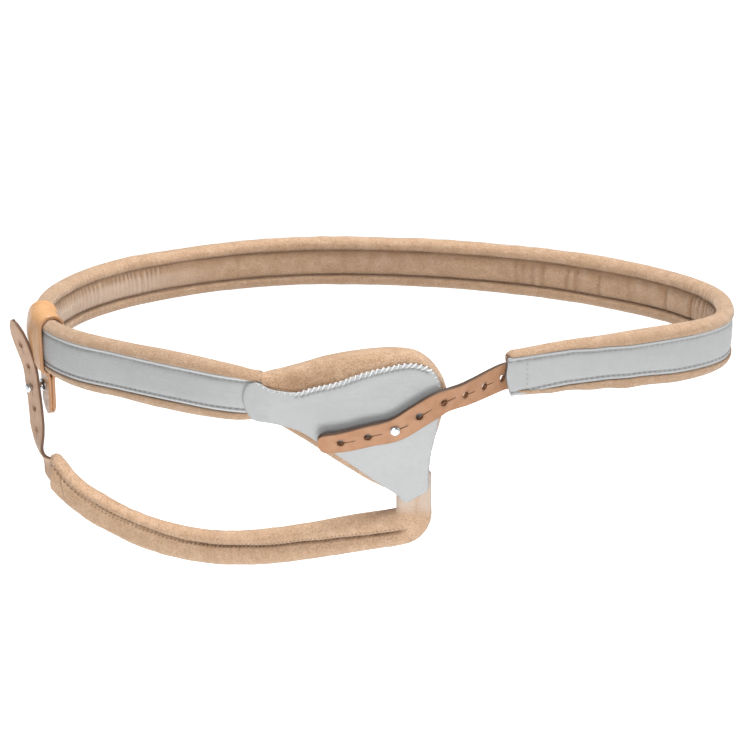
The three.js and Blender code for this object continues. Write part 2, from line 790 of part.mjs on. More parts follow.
function thighTube(pocket) {
  const outline = tubeOutline(tubeWidth, tubeThickness, tubeSeamDepth);
  const places = paddedStations(36, tubeLine.getLength());
  const frames = places.map(({ at }) => bandFrame(tubeLine, tubeFaces, at));
  const outlines = places.map(({ swell }) => outline.map((p) => p.map((size) => size * swell)));
  return cut(band(frames, outlines), [pocket]);
}

// The padded strap's end with clearance all round, cut out of the pad's cushion
function neckPocket() {
  const outline = tubeOutline(tubeWidth + 2 * wideGap, tubeThickness + 2 * wideGap, 0.1);
  return pocketFor(tubeLine, tubeFaces, neckAt * 0.97, outline);
}

const intoTube = [0.35, 0.7, 1].map((share) =>
  tubeLine.getPointAt((share * strapInTube) / tubeLine.getLength()),
);
const thighStrapLine = lineThrough([
  ...thighStrapPath.map((p) =>
    new THREE.Vector3(p.across, p.depth, p.high).multiplyScalar(thighHolePitch).add(sideCrossing),
  ),
  tubeMouth,
  ...intoTube,
]);
const sideStudAt = nearest(thighStrapLine, sideCrossing);
const mouthAt = nearest(thighStrapLine, tubeMouth);
const askew = new THREE.Vector3(-0.84, -0.54, 0);
const thighFaces = [
  facing(0, askew),
  facing(sideStudAt, askew),
  facing(lerp(sideStudAt, mouthAt, 0.4), new THREE.Vector3(-0.88, -0.47, 0)),
  facing(lerp(sideStudAt, mouthAt, 0.8), new THREE.Vector3(-0.82, -0.18, -0.47)),
  facing(mouthAt, chordSide),
];

function thighStrap() {
  const holes = holePlaces(thighStrapLine, sideStudAt, thighHolePitch, 2, 2);
  return strap(thighStrapLine, thighFaces, () => strapWidth, holes, 1);
}

// The thigh strap's end with clearance all round, cut out of the padded tube
function strapPocket() {
  const outline = strapOutline(strapWidth + 2 * wideGap, strapThickness + 2 * wideGap);
  return pocketFor(thighStrapLine, thighFaces, mouthAt * 0.97, outline);
}

const group = new THREE.Group();
function add(name, geometry, material) {
  const mesh = new THREE.Mesh(geometry, material);
  mesh.name = name;
  group.add(mesh);
}

add("belt_sleeve", beltSleeve(), velour);
add("belt_cover", beltCover(), whiteLeather);
add("pad_cover", padCover(), whiteLeather);
add("pad_cushion", padCushion(neckPocket()), velour);
add("front_strap", frontStrap(), tanLeather);
add("front_stud", stud(frontStudBase, forward, frontStudReach, frontStudPlay), chrome);
add("slider_loop", sliderLoop(), loopLeather);
add("slider_stud", stud(sideStudBase, sliderFrame.out, sideStudReach, sideStudPlay), chrome);
add("thigh_tube", thighTube(strapPocket()), velour);
add("thigh_strap", thighStrap(), paleLeather);

export default group;
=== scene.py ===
# A one-sided hernia belt: velour padding, white leather facing and pad, holed leather straps.
# Blender 4.5. Lengths in the dictionaries are millimetres and become metres where a mesh is made.
import math

import bmesh
import bpy
import numpy as np
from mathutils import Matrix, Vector
from mathutils.geometry import delaunay_2d_cdt


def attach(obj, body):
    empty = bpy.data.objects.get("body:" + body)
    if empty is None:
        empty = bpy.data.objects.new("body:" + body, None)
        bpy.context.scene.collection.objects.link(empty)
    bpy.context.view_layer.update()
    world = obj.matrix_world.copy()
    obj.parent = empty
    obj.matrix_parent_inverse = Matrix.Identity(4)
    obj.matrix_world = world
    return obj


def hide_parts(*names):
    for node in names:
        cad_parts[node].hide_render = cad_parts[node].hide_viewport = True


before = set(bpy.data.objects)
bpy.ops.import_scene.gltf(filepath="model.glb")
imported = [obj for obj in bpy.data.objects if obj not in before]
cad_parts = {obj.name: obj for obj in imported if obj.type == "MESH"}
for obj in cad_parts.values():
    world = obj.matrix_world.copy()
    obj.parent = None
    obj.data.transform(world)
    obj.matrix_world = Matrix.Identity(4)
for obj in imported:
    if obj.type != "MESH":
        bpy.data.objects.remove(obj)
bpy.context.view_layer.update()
mm = 0.001
up = np.array((0.0, 0.0, 1.0))
front = np.array((0.0, -1.0, 0.0))

print("frame loaded")


# Small helpers for numbers, lines and meshes

def smooth(t):
    t = np.clip(t, 0.0, 1.0)
    return t * t * (3 - 2 * t)


def mix(a, b, t):
    return a + (b - a) * t


def ridge(off, width):
    # 1 where off is 0, and next to nothing from twice the width on
    return np.exp(-(off / width) ** 2)


def roundOff(t):
    # a quarter of a circle, from 0 up to 1
    return np.sqrt(np.clip(1 - (1 - np.clip(t, 0, 1)) ** 2, 0, 1))


def unit(v):
    return v / np.maximum(np.linalg.norm(v, axis=-1, keepdims=True), 1e-9)


def column(rows, name, at):
    # the value of one column between the rows of a table that are sorted by their "at"
    places = np.array([row["at"] for row in rows])
    values = np.array([row[name] for row in rows], float)
    at = np.clip(np.asarray(at, float), places[0], places[-1])
    after = np.clip(np.searchsorted(places, at), 1, len(rows) - 1)
    t = (at - places[after - 1]) / (places[after] - places[after - 1])
    return mix(values[after - 1], values[after], smooth(t))


def wobble(x, period, seed):
    # smooth random waves between -1 and 1
    count = 4096
    values = np.random.RandomState(seed).uniform(-1, 1, count)
    spot = np.asarray(x, float) / period + count / 2
    whole = np.floor(spot).astype(int)
    return mix(values[whole % count], values[(whole + 1) % count], smooth(spot - whole))


def patches(x, y, period, seed):
    # the same in two directions
    count = 256
    values = np.random.RandomState(seed).uniform(-1, 1, (count, count))
    px, py = np.asarray(x, float) / period + count / 2, np.asarray(y, float) / period + count / 2
    ix, iy = np.floor(px).astype(int), np.floor(py).astype(int)
    tx, ty = smooth(px - ix), smooth(py - iy)
    left, right, low, high = ix % count, (ix + 1) % count, iy % count, (iy + 1) % count
    return mix(mix(values[left, low], values[right, low], tx),
               mix(values[left, high], values[right, high], tx), ty)


def spline(points, closed=False, steps=60):
    # dense points on a smooth curve through the given ones, a centripetal spline
    points = np.array(points, float)
    if closed:
        ring = np.vstack([points[-1], points, points[0], points[1]])
    else:
        ring = np.vstack([2 * points[0] - points[1], points, 2 * points[-1] - points[-2]])
    t = np.linspace(0, 1, steps, endpoint=False)[:, None]
    out = []
    for p0, p1, p2, p3 in zip(ring, ring[1:], ring[2:], ring[3:]):
        a, b, c = (max(np.linalg.norm(end - start) ** 0.5, 1e-6)
                   for start, end in ((p0, p1), (p1, p2), (p2, p3)))
        m1 = ((p1 - p0) / a - (p2 - p0) / (a + b) + (p2 - p1) / b) * b
        m2 = ((p2 - p1) / b - (p3 - p1) / (b + c) + (p3 - p2) / c) * b
        t2, t3 = t * t, t * t * t
        out.append(p1 * (2 * t3 - 3 * t2 + 1) + m1 * (t3 - 2 * t2 + t) + p2 * (3 * t2 - 2 * t3)
                   + m2 * (t3 - t2))
    out.append(points[:1] if closed else points[-1:])
    return np.vstack(out)


def farAlong(points):
    # how far each point of a broken line is from its start
    return np.concatenate([[0], np.cumsum(np.linalg.norm(np.diff(points, axis=0), axis=1))])


class Line:
    # a smooth line that is read by the share of its length. A share below 0 lies straight ahead
    # of its start.
    def __init__(self, points):
        self.dense = spline(points)
        self.far = farAlong(self.dense)
        self.length = self.far[-1]

    def point(self, at):
        where = np.asarray(at, float) * self.length
        inside = np.stack([np.interp(where, self.far, self.dense[:, k]) for k in range(3)], -1)
        before = np.minimum(where, 0)[..., None] * unit(self.dense[3] - self.dense[0])
        return inside + before

    def along(self, at):
        # its direction, from the places 0.4 mm to either side
        step = 0.4 / self.length
        at = np.clip(at, 0, 1)
        return unit(self.point(np.clip(at + step, 0, 1)) - self.point(np.clip(at - step, 0, 1)))

    def nearest(self, point):
        return self.far[np.argmin(np.linalg.norm(self.dense - point, axis=1))] / self.length


def resample(points, count, closed=False):
    # evenly spaced points on a broken line
    points = np.vstack([points, points[:1]]) if closed else points
    far = farAlong(points)
    where = np.linspace(0, far[-1], count, endpoint=not closed)
    return np.stack([np.interp(where, far, points[:, k]) for k in range(points.shape[1])], -1)


def makePiece(name, points, faces, finish, uvs=None, marks=None):
    # a mesh object from points in millimetres. Marks are values at its points for the shaders.
    mesh = bpy.data.meshes.new(name)
    mesh.from_pydata((points * mm).tolist(), [], faces)
    mesh.validate()
    if uvs is not None:
        layer = mesh.uv_layers.new(name="flat")
        layer.data.foreach_set("uv", np.asarray(uvs, np.float32).ravel())
    for mark, values in (marks or {}).items():
        attribute = mesh.attributes.new(mark, "FLOAT", "POINT")
        attribute.data.foreach_set("value", np.asarray(values, np.float32).ravel())
    mesh.shade_smooth()
    mesh.materials.append(finish)
    piece = bpy.data.objects.new(name, mesh)
    bpy.context.scene.collection.objects.link(piece)
    return piece


def fixNormals(piece):
    work = bmesh.new()
    work.from_mesh(piece.data)
    bmesh.ops.recalc_face_normals(work, faces=work.faces)
    work.to_mesh(piece.data)
    work.free()


def gridPiece(name, grid, finish, marks=None):
    # a closed body from rings of points: grid[ring, place round the ring]. The ends are capped.
    rings, count = grid.shape[:2]
    i, j = np.meshgrid(np.arange(rings - 1), np.arange(count), indexing="ij")
    k = (j + 1) % count
    quads = np.stack([i * count + j, i * count + k, (i + 1) * count + k, (i + 1) * count + j], -1)
    faces = quads.reshape(-1, 4).tolist()
    faces += [list(range(count))[::-1], [(rings - 1) * count + c for c in range(count)]]
    alongStep = np.linalg.norm(np.diff(grid[:, 0], axis=0), axis=1).mean()
    acrossStep = np.linalg.norm(np.diff(grid[rings // 2], axis=0), axis=1).mean()
    flat = np.stack([np.stack([i, i, i + 1, i + 1], -1) * alongStep,
                     np.stack([j, j + 1, j + 1, j], -1) * acrossStep], -1).reshape(-1, 2) * mm
    uvs = np.vstack([flat, np.zeros((2 * count, 2))])
    return makePiece(name, grid.reshape(-1, 3), faces, finish, uvs, marks)


def place(piece, slot, *nodes):
    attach(piece, "root")
    if nodes:
        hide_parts(*nodes)
    return piece


# Shader maths as expressions

class Wire:
    def __init__(self, nodes, socket):
        self.nodes = nodes
        self.socket = socket

    def maths(self, operation, a, b):
        return self.nodes.add("ShaderNodeMath", {"operation": operation}, {0: a, 1: b})

    def __add__(self, other):
        return self.maths("ADD", self, other)

    def __radd__(self, other):
        return self.maths("ADD", other, self)

    def __sub__(self, other):
        return self.maths("SUBTRACT", self, other)

    def __rsub__(self, other):
        return self.maths("SUBTRACT", other, self)

    def __mul__(self, other):
        return self.maths("MULTIPLY", self, other)

    def __rmul__(self, other):
        return self.maths("MULTIPLY", other, self)


class Nodes:
    # the nodes of a material or of the world
    def __init__(self, tree):
        self.tree = tree

    def feed(self, socket, value):
        if isinstance(value, Wire):
            self.tree.links.new(value.socket, socket)
        else:
            socket.default_value = value

    def add(self, kind, settings, inputs, output=0):
        made = self.tree.nodes.new(kind)
        for key, value in settings.items():
            if key == "stops":
                ramp = made.color_ramp.elements
                while len(ramp) < len(value):
                    ramp.new(0.5)
                for element, (position, colour) in zip(ramp, value):
                    element.position = position
                    element.color = colour
            else:
                setattr(made, key, value)
        for key, value in inputs.items():
            self.feed(made.inputs[key], value)
        return Wire(self, made.outputs[output])


class Finish(Nodes):
    # one material: its fixed values, then what changes over the surface
    def __init__(self, name, fixed):
        self.material = bpy.data.materials.new(name)
        self.material.use_nodes = True
        super().__init__(self.material.node_tree)
        self.shader = self.tree.nodes["Principled BSDF"]
        for socket, value in fixed.items():
            self.shader.inputs[socket].default_value = value
        self.where = self.add("ShaderNodeTexCoord", {}, {}, "Object")

    def noise(self, size, detail, roughness, where=None):
        # size in millimetres
        inputs = {"Vector": where or self.where, "Scale": 1 / (size * mm), "Detail": detail,
                  "Roughness": roughness}
        return self.add("ShaderNodeTexNoise", {}, inputs, "Fac")

    def cells(self, size):
        inputs = {"Vector": self.where, "Scale": 1 / (size * mm)}
        return self.add("ShaderNodeTexVoronoi", {}, inputs, "Distance")

    def between(self, value, low, high):
        inputs = {"Value": value, "From Min": low, "From Max": high}
        return self.add("ShaderNodeMapRange", {"interpolation_type": "SMOOTHSTEP"}, inputs)

    def mark(self, name):
        return self.add("ShaderNodeAttribute", {"attribute_name": name}, {}, "Fac")

    def blend(self, factor, a, b):
        return self.add("ShaderNodeMix", {"data_type": "RGBA"}, {0: factor, 6: a, 7: b}, 2)

    def bump(self, height, distance, strength):
        inputs = {"Height": height, "Distance": distance * mm, "Strength": strength}
        return self.add("ShaderNodeBump", {}, inputs)

    def done(self, **links):
        # the last links, by the sockets' names with _ for a space
        for socket, value in links.items():
            self.feed(self.shader.inputs[socket.replace("_", " ")], value)
        return self.material


# Finishes. Colours are linear.

velourLook = {
    "nap": (0.60, 0.395, 0.255, 1),
    "shade": (0.40, 0.235, 0.135, 1),  # darker colour in the pits of the nap, and painted shade in the folds, under the edge roll and by the pad's leather
    "bright": (0.68, 0.47, 0.32, 1),
    # dark stitched valleys and seams, with painted shadow where the velour meets the facing and in
    # the cushion's crease at the leather
    "seam": (0.13, 0.07, 0.04, 1),
    "pale": (0.76, 0.61, 0.50, 1),  # painted highlight on the crests of the belt's gathers and on its lit inner left, and paler velour in the thigh tube's neck
    "sheen": (1.0, 0.87, 0.74, 1),
    "tuft": 0.8,  # sizes and depth in millimetres
    "clump": 2.08,
    "blotch": 7.0,
    "bumpDepth": 1.0,
    "pits": 0.48,  # how much of the pits' darker colour shows everywhere, and more as painted shade next to the pad's leather
    "morePits": 0.52,
    "roughness": 0.86,
}


# a last argument above 1 makes a lighter copy of the velour: painted light for the cushion and the
# thigh tube
def velourFinish(name, paintedLight=1.0):
    look = velourLook
    finish = Finish(name, {"Sheen Weight": 0.8, "Sheen Roughness": 0.4,
                           "Sheen Tint": look["sheen"], "Specular IOR Level": 0.1})
    tufts = finish.noise(look["tuft"], 3, 0.7)
    clumps = finish.noise(look["clump"], 3, 0.6)
    blotches = finish.noise(look["blotch"], 3, 0.55)
    pits = 1 - finish.between(tufts * 0.85 + clumps * 0.15, 0.42, 0.53)
    nap = [c * paintedLight for c in look["nap"][:3]] + [1]
    bright = [min(1, c * paintedLight) for c in look["bright"][:3]] + [1]
    colour = finish.blend(finish.between(blotches, 0.35, 0.7), nap, bright)
    # the marks paint light and shade: more dark pits as painted shade by the pad's leather, painted
    # shade in the folds, painted highlight on crests (and paler velour in the tube's neck), and
    # dark seams with painted shadow by the facing
    pits = pits * (look["pits"] + finish.mark("pile") * look["morePits"])
    colour = finish.blend(pits, colour, look["shade"])
    colour = finish.blend(finish.mark("fold") * 0.75, colour, look["shade"])
    colour = finish.blend(finish.mark("pale"), colour, look["pale"])
    colour = finish.blend(finish.mark("seam") * 0.9, colour, look["seam"])
    height = tufts * 0.6 + clumps * 0.8
    rough = finish.between(tufts, 0.2, 0.7) * 0.1 + look["roughness"]
    return finish.done(Base_Color=colour, Roughness=rough,
                       Normal=finish.bump(height, look["bumpDepth"], 1.0))


whiteLook = {
    "hide": (0.51, 0.518, 0.52, 1),
    "shade": (0.41, 0.42, 0.428, 1),
    # lip: painted highlight on the facing's rounded lips
    "lip": (0.80, 0.81, 0.815, 1),
    "holesAndShade": (0.17, 0.165, 0.165, 1),  # dark stitch holes, painted shade in the sewn grooves and round the stitches, and darker cut edges
    "grain": 0.9,  # sizes and depth in millimetres
    "pore": 0.36,
    "creases": 4.5,
    "streaks": (14.0, 3.0, 1.6),
    "bumpDepth": 0.36,
    "roughness": 0.40,
}


def whiteLeatherFinish():
    look = whiteLook
    finish = Finish("whiteLeather", {"Specular IOR Level": 0.45, "Coat Roughness": 0.35})
    grain = finish.cells(look["grain"])
    pores = finish.noise(look["pore"], 2, 0.6)
    creases = finish.noise(look["creases"], 3, 0.6)
    stretch = finish.add("ShaderNodeMapping", {"vector_type": "TEXTURE"},
                         {"Vector": finish.where, "Scale": look["streaks"]})
    streaks = finish.noise(1.0, 3, 0.6, stretch)
    colour = finish.blend(finish.between(creases, 0.35, 0.75) * 0.25, look["hide"], look["shade"])
    # painted highlight on the lips
    colour = finish.blend(finish.mark("lip") * 0.7, colour, look["lip"])
    # dark stitch holes with painted shade in the grooves and round the stitches
    colour = finish.blend(finish.mark("seam") * 0.8, colour, look["holesAndShade"])
    height = grain * 0.5 + pores * 0.15 + creases * 0.9 + streaks * 1.1
    rough = finish.between(grain, 0.1, 0.7) * 0.14 + look["roughness"]
    return finish.done(Base_Color=colour, Roughness=rough,
                       Coat_Weight=finish.between(creases, 0.3, 0.7) * 0.08 + 0.04,
                       Normal=finish.bump(height, look["bumpDepth"], 0.55))


hideLooks = {  # edge: round the holes and along the rim. The darkest colour: the strap's flesh back, and painted shade on its upper cut side
    "tanLeather": {
        "hide": (0.50, 0.262, 0.142, 1), "dark": (0.40, 0.195, 0.098, 1),
        "edge": (0.20, 0.10, 0.055, 1), "raw": (0.07, 0.038, 0.022, 1),
        "roughness": 0.55, "pore": 0.5, "depth": 0.10,
    },
    "loopLeather": {
        "hide": (0.80, 0.45, 0.21, 1), "dark": (0.66, 0.33, 0.135, 1),
        "edge": (0.42, 0.22, 0.115, 1), "raw": (0.30, 0.16, 0.09, 1),
        "roughness": 0.32, "pore": 0.6, "depth": 0.05,
    },
    "paleLeather": {
        "hide": (0.70, 0.48, 0.345, 1), "dark": (0.58, 0.375, 0.255, 1),
        "edge": (0.34, 0.20, 0.13, 1), "raw": (0.16, 0.09, 0.055, 1),
        "roughness": 0.62, "pore": 0.45, "depth": 0.12,
    },
}


def hideFinish(name):
    look = hideLooks[name]
    finish = Finish(name, {"Specular IOR Level": 0.4})
    pores = finish.noise(look["pore"], 3, 0.65)
    clouds = finish.noise(6, 3, 0.55)
    scratches = finish.cells(1.3)
    colour = finish.blend(finish.between(clouds, 0.3, 0.75) * 0.7, look["hide"], look["dark"])
    colour = finish.blend(finish.between(pores, 0.52, 0.72) * 0.3, colour, look["dark"])
    colour = finish.blend(finish.mark("edge") * 0.8, colour, look["edge"])
    colour = finish.blend(finish.mark("raw"), colour, look["raw"])
    rough = finish.between(clouds, 0.3, 0.7) * 0.12 + (look["roughness"] - 0.06)
    height = pores * 0.7 + scratches * 0.3
    return finish.done(Base_Color=colour, Roughness=rough,
                       Normal=finish.bump(height, look["depth"], 0.8))


def cutEdgeFinish(name):
    # the raw cut wall of a strap and of its holes
    look = hideLooks[name]
    finish = Finish(name + "Cut", {"Specular IOR Level": 0.2})
    fuzz = finish.noise(0.25, 3, 0.7)
    colour = finish.blend(finish.between(fuzz, 0.35, 0.65), look["edge"], look["dark"])
    return finish.done(Base_Color=colour, Roughness=fuzz * 0.1 + 0.85,
                       Normal=finish.bump(fuzz, 0.15, 1.0))


chromeColour = (0.62, 0.64, 0.66, 1)
threadLooks = {
    "whiteThread": {"light": (0.92, 0.92, 0.9292, 1), "dark": (0.72, 0.72, 0.7344, 1)},
    "facingThread": {"light": (0.60, 0.60, 0.606, 1), "dark": (0.45, 0.45, 0.459, 1)},
}


def chromeFinish():
    finish = Finish("studChrome", {"Metallic": 1.0, "Base Color": chromeColour})
    haze = finish.noise(1.2, 3, 0.6)
    return finish.done(Roughness=finish.between(haze, 0.3, 0.8) * 0.08 + 0.22,
                       Normal=finish.bump(haze, 0.02, 0.3))


def threadFinish(name):
    look = threadLooks[name]
    finish = Finish(name, {"Sheen Weight": 0.2, "Specular IOR Level": 0.35})
    twist = finish.noise(0.35, 2, 0.5)
    colour = finish.blend(finish.between(twist, 0.35, 0.65), look["light"], look["dark"])
    return finish.done(Base_Color=colour, Roughness=twist * 0.1 + 0.5,
                       Normal=finish.bump(twist, 0.12, 0.8))


velour = velourFinish("velour")
# lighter copies of the velour: painted light on the cushion and on the thigh tube
cushionVelour = velourFinish("cushionVelour", 1.1)
tubeVelour = velourFinish("tubeVelour", 1.2)
whiteLeather = whiteLeatherFinish()
tanLeather = hideFinish("tanLeather")
tanCut = cutEdgeFinish("tanLeather")
loopLeather = hideFinish("loopLeather")
paleLeather = hideFinish("paleLeather")
paleCut = cutEdgeFinish("paleLeather")
chrome = chromeFinish()
whiteThread = threadFinish("whiteThread")
facingThread = threadFinish("facingThread")
print("finishes ready")

# The belt's line and sections, as in the solids

belt = {
    "halfWidth": 185.0,  # to the middle of the padding, across the hips and front to back
    "halfDepth": 115.0,
    "height": 29.0,
    "thickness": 9.5,
    "roll": 9.2,
    "facing": 20.5,
    "facingThickness": 1.6,
    "inset": 0.9,  # the facing lies this far inside the edge rolls
    "lip": 2.0,  # outside the facing's row of stitches
    "crown": 0.8,
    "pointOut": 6.4,  # how far the facing's blunt point stands out, and its corners stand back
    "pointUp": 2.4,
    "pointDown": 3.2,
    "seamHigh": 7.9,  # stitched valleys on the skin side, from the belt's middle
    "seamDeep": 2.9,
    "rootLength": 12.0,  # strap inside the pocket of the free end
    "endSlant": 0.42,
    "runOn": 3.6,  # how far the padding runs on at the free end
}
clearance = 0.3  # between pieces that lie on each other, and round one that goes into another
wideClearance = 0.5  # the same for the pad and the loop over the belt, and the neck in the cushion
strapThickness = 2.0

beltPlan = [  # seen from above, from the free end to the pad, in shares of the half sizes
    (0.352, -0.76), (0.55, -0.612), (0.756, -0.465), (0.915, -0.324), (0.978, -0.199),
    (0.999, 0.026), (0.972, 0.187), (0.892, 0.378), (0.726, 0.599), (0.494, 0.805),
    (0.157, 0.954), (-0.175, 1.0), (-0.437, 0.933), (-0.643, 0.796), (-0.813, 0.609),
    (-0.928, 0.393), (-0.993, 0.12), (-0.995, -0.09), (-0.957, -0.32), (-0.862, -0.505),
    (-0.731, -0.64), (-0.572, -0.798), (-0.43, -0.915), (-0.31, -0.962),
]
beltTaper = [
    {"at": 0, "height": 0.93, "thickness": 0.74, "facing": 1.0, "lift": 0.05},
    {"at": 0.035, "height": 0.925, "thickness": 0.84, "facing": 0.93, "lift": 0.065},
    {"at": 0.06, "height": 0.99, "thickness": 0.90, "facing": 0.88, "lift": 0.03},
    {"at": 0.085, "height": 1.07, "thickness": 0.95, "facing": 0.88, "lift": -0.01},
    {"at": 0.12, "height": 1.11, "thickness": 1, "facing": 0.96, "lift": -0.04},
    {"at": 0.16, "height": 1.08, "thickness": 1, "facing": 0.98, "lift": -0.04},
    {"at": 0.24, "height": 1.04, "thickness": 1, "facing": 0.98, "lift": -0.02},
    {"at": 0.33, "height": 1.05, "thickness": 1, "facing": 0.98, "lift": -0.025},
    {"at": 0.45, "height": 1.03, "thickness": 1, "facing": 0.98, "lift": -0.01},
    {"at": 0.8, "height": 1.02, "thickness": 1, "facing": 0.98, "lift": -0.01},
    {"at": 0.87, "height": 1.05, "thickness": 1, "facing": 0.98, "lift": -0.015},
    {"at": 0.95, "height": 1.07, "thickness": 0.96, "facing": 0.94, "lift": 0.0},
    {"at": 1, "height": 0.97, "thickness": 0.92, "facing": 0.89, "lift": -0.02},
]
beltLine = Line([(x * belt["halfWidth"], y * belt["halfDepth"], 0) for x, y in beltPlan])


def beltFrames(at):
    at = np.asarray(at, float)
    along = beltLine.along(at)
    out = unit(np.cross(along, up))
    point = beltLine.point(at)
    point[..., 2] += belt["height"] * column(beltTaper, "lift", at)
    return point, along, out


def beltSizes(at):
    # half of the belt's height and thickness, and of the facing's height
    thick = belt["thickness"] * column(beltTaper, "thickness", at) / 2
    high = belt["height"] * column(beltTaper, "height", at) / 2
    facingHalf = belt["facing"] * column(beltTaper, "facing", at) / 2
    return high, thick, facingHalf


def onBelt(at, outward, high):
    point, _, out = beltFrames(at)
    return point + out * np.asarray(outward)[..., None] + up * np.asarray(high)[..., None]


def stationsAlong(length, step, fine):
    # shares of a length, closer together in the stretches of the fine list
    places = [0.0]
    while places[-1] < 1:
        here = places[-1]
        size = min([step] + [fineStep for low, high, fineStep in fine if low <= here <= high])
        places.append(min(1.0, here + size / length))
    return np.array(places)


# Velour padding of the belt

sleeveLook = {
    "step": 1.45,  # between the mesh's rings, and points on a ring
    "around": 104,
    "gathers": [  # stretches where the skin side is gathered: from, to, pitch, depth
        (0.165, 0.238, 4.2, 1.25),
        (0.236, 0.345, 11.0, 0.25),
        (0.345, 0.66, 15.0, 0.15),
        (0.64, 0.80, 3.3, 1.15),
    ],
    "creases": [  # single folds across the skin side: where, how deep, how wide
        (0.379, 0.9, 1.0), (0.374, 0.6, 0.9), (0.367, 1.0, 1.1), (0.359, 1.0, 1.0),
        (0.338, 1.1, 1.1), (0.331, 0.8, 1.2), (0.313, 1.0, 1.0), (0.290, 0.5, 1.2),
        (0.257, 0.9, 1.2), (0.2335, 1.2, 1.1), (0.51, 0.4, 1.5), (0.59, 0.5, 1.4),
    ],
    "rollWaves": 0.34,
    "lumps": 0.42,
    "channel": 6.4,  # the skin side lies flat up to here, and the edge rolls begin at rolls
    "rolls": 8.6,
    "padSink": 1.5,
    "freeRise": 2.6,
    "freeForward": 4.5,
}


def sleeveSection(high, thick, facingHalf, bed, count):
    # one ring, from the facing's bed over the edge roll and the stitched valley to the skin side
    roll = min(belt["roll"], high * 0.64) / 2
    centre = high - roll
    bedEdge = facingHalf + clearance
    start = math.asin(np.clip((bedEdge - centre) / roll, -0.9, 0.9))
    seam = min(belt["seamHigh"], high * 0.56)
    angles = np.linspace(start, math.pi + 0.55, 28)
    arc = np.stack([thick * np.cos(angles), centre + roll * np.sin(angles)], -1)
    arc[:, 0] = np.where(angles > math.pi / 2, arc[:, 0] * 1.05, arc[:, 0])
    deep = min(belt["seamDeep"] - thick, bed - 1.0)
    valley = np.array([[deep - 0.4, seam + 0.25], [deep, seam - 0.15], [deep - 0.35, seam - 0.7]])
    share = np.linspace(0.9, 0, 14)
    middle = np.stack([-thick * mix(0.88, 0.60, share ** 2.6), seam * share], -1)
    upper = np.vstack([[[bed, bedEdge]], arc, valley, middle])
    whole = np.vstack([upper, (upper * (1, -1))[::-1][1:]])
    ring = resample(whole, count, closed=True)
    soft = (np.roll(ring, 1, 0) + 2 * ring + np.roll(ring, -1, 0)) / 4
    inBed = (ring[:, 0] > bed - 0.05) & (np.abs(ring[:, 1]) < bedEdge + 0.6)
    return np.where(inBed[:, None], ring, soft)


def endSlant(far, high):
    # how far the belt's upper half stops short of the pad end
    nearPad = smooth((far - beltLine.length + 16) / 16)
    return belt["endSlant"] * np.maximum(high - 2, 0) * nearPad


def foldSkin(at, far, outward, high, channel, rolls):
    # gathers and creases: the skin side with them, a mark of painted shade in their hollows and one
    # of painted highlight on their crests
    lean = wobble(far, 17, 4) * 0.10 * high
    folds, crestHighlights = np.zeros_like(high), np.zeros_like(high)
    for low, top, pitch, depth in sleeveLook["gathers"]:
        window = smooth((at - low) / 0.02) * smooth((top - at) / 0.02)
        phase = (far + lean + 0.35 * pitch * wobble(far, pitch * 2.3, 11)) * 2 * math.pi / pitch
        strength = 0.5 + 0.5 * patches(far, high * 0.8, pitch * 2.2, 7)
        upperMore = 0.45 + 0.55 * smooth((high + 3) / 6)
        wave = np.sin(phase) * strength * window[:, None] * (channel * upperMore + 0.25 * rolls)
        outward = outward + wave * depth
        folds += np.clip(wave - 0.05, 0, 1) * depth * 0.9
        crestHighlights += np.clip(-wave - 0.1, 0, 1) * depth * 0.8
    for where, depth, width in sleeveLook["creases"]:
        lean = 0.8 * np.sin(where * 90) + 0.12 * high * np.sin(where * 60)
        off = (far - where * beltLine.length + lean) / width
        dent = ridge(off, 1) * depth * 0.95
        bank = ridge(off - 2.1, 1.3) * depth * 0.95
        outward = outward + (dent - 0.45 * bank) * (channel + 0.35 * rolls)
        folds += dent * (channel + 0.2 * rolls)
    return outward, folds, crestHighlights


def closeEnds(far, outward, high, bedLine, bedEdge):
    # beside the pad both rolls close in on the leather, and the free end is drawn in round it
    toPad = beltLine.length - far
    high = high - sleeveLook["padSink"] * smooth(1 - toPad / 24) * smooth((high - 4) / 5)
    high = high + sleeveLook["padSink"] * smooth(1 - toPad / 18) * smooth((-high - 4) / 5)
    draw = 0.74 + 0.26 * roundOff(far / 2.4)
    outward = mix(np.where(outward > bedLine, bedLine, bedLine - 1), outward, draw)
    past = np.maximum(0, np.abs(high) - bedEdge)
    high = np.sign(high) * (np.abs(high) - past * 2 * (1 - draw))
    high = high + sleeveLook["freeRise"] * (1 - smooth(far / 26)) * smooth((-high - 4) / 5)
    return outward, high


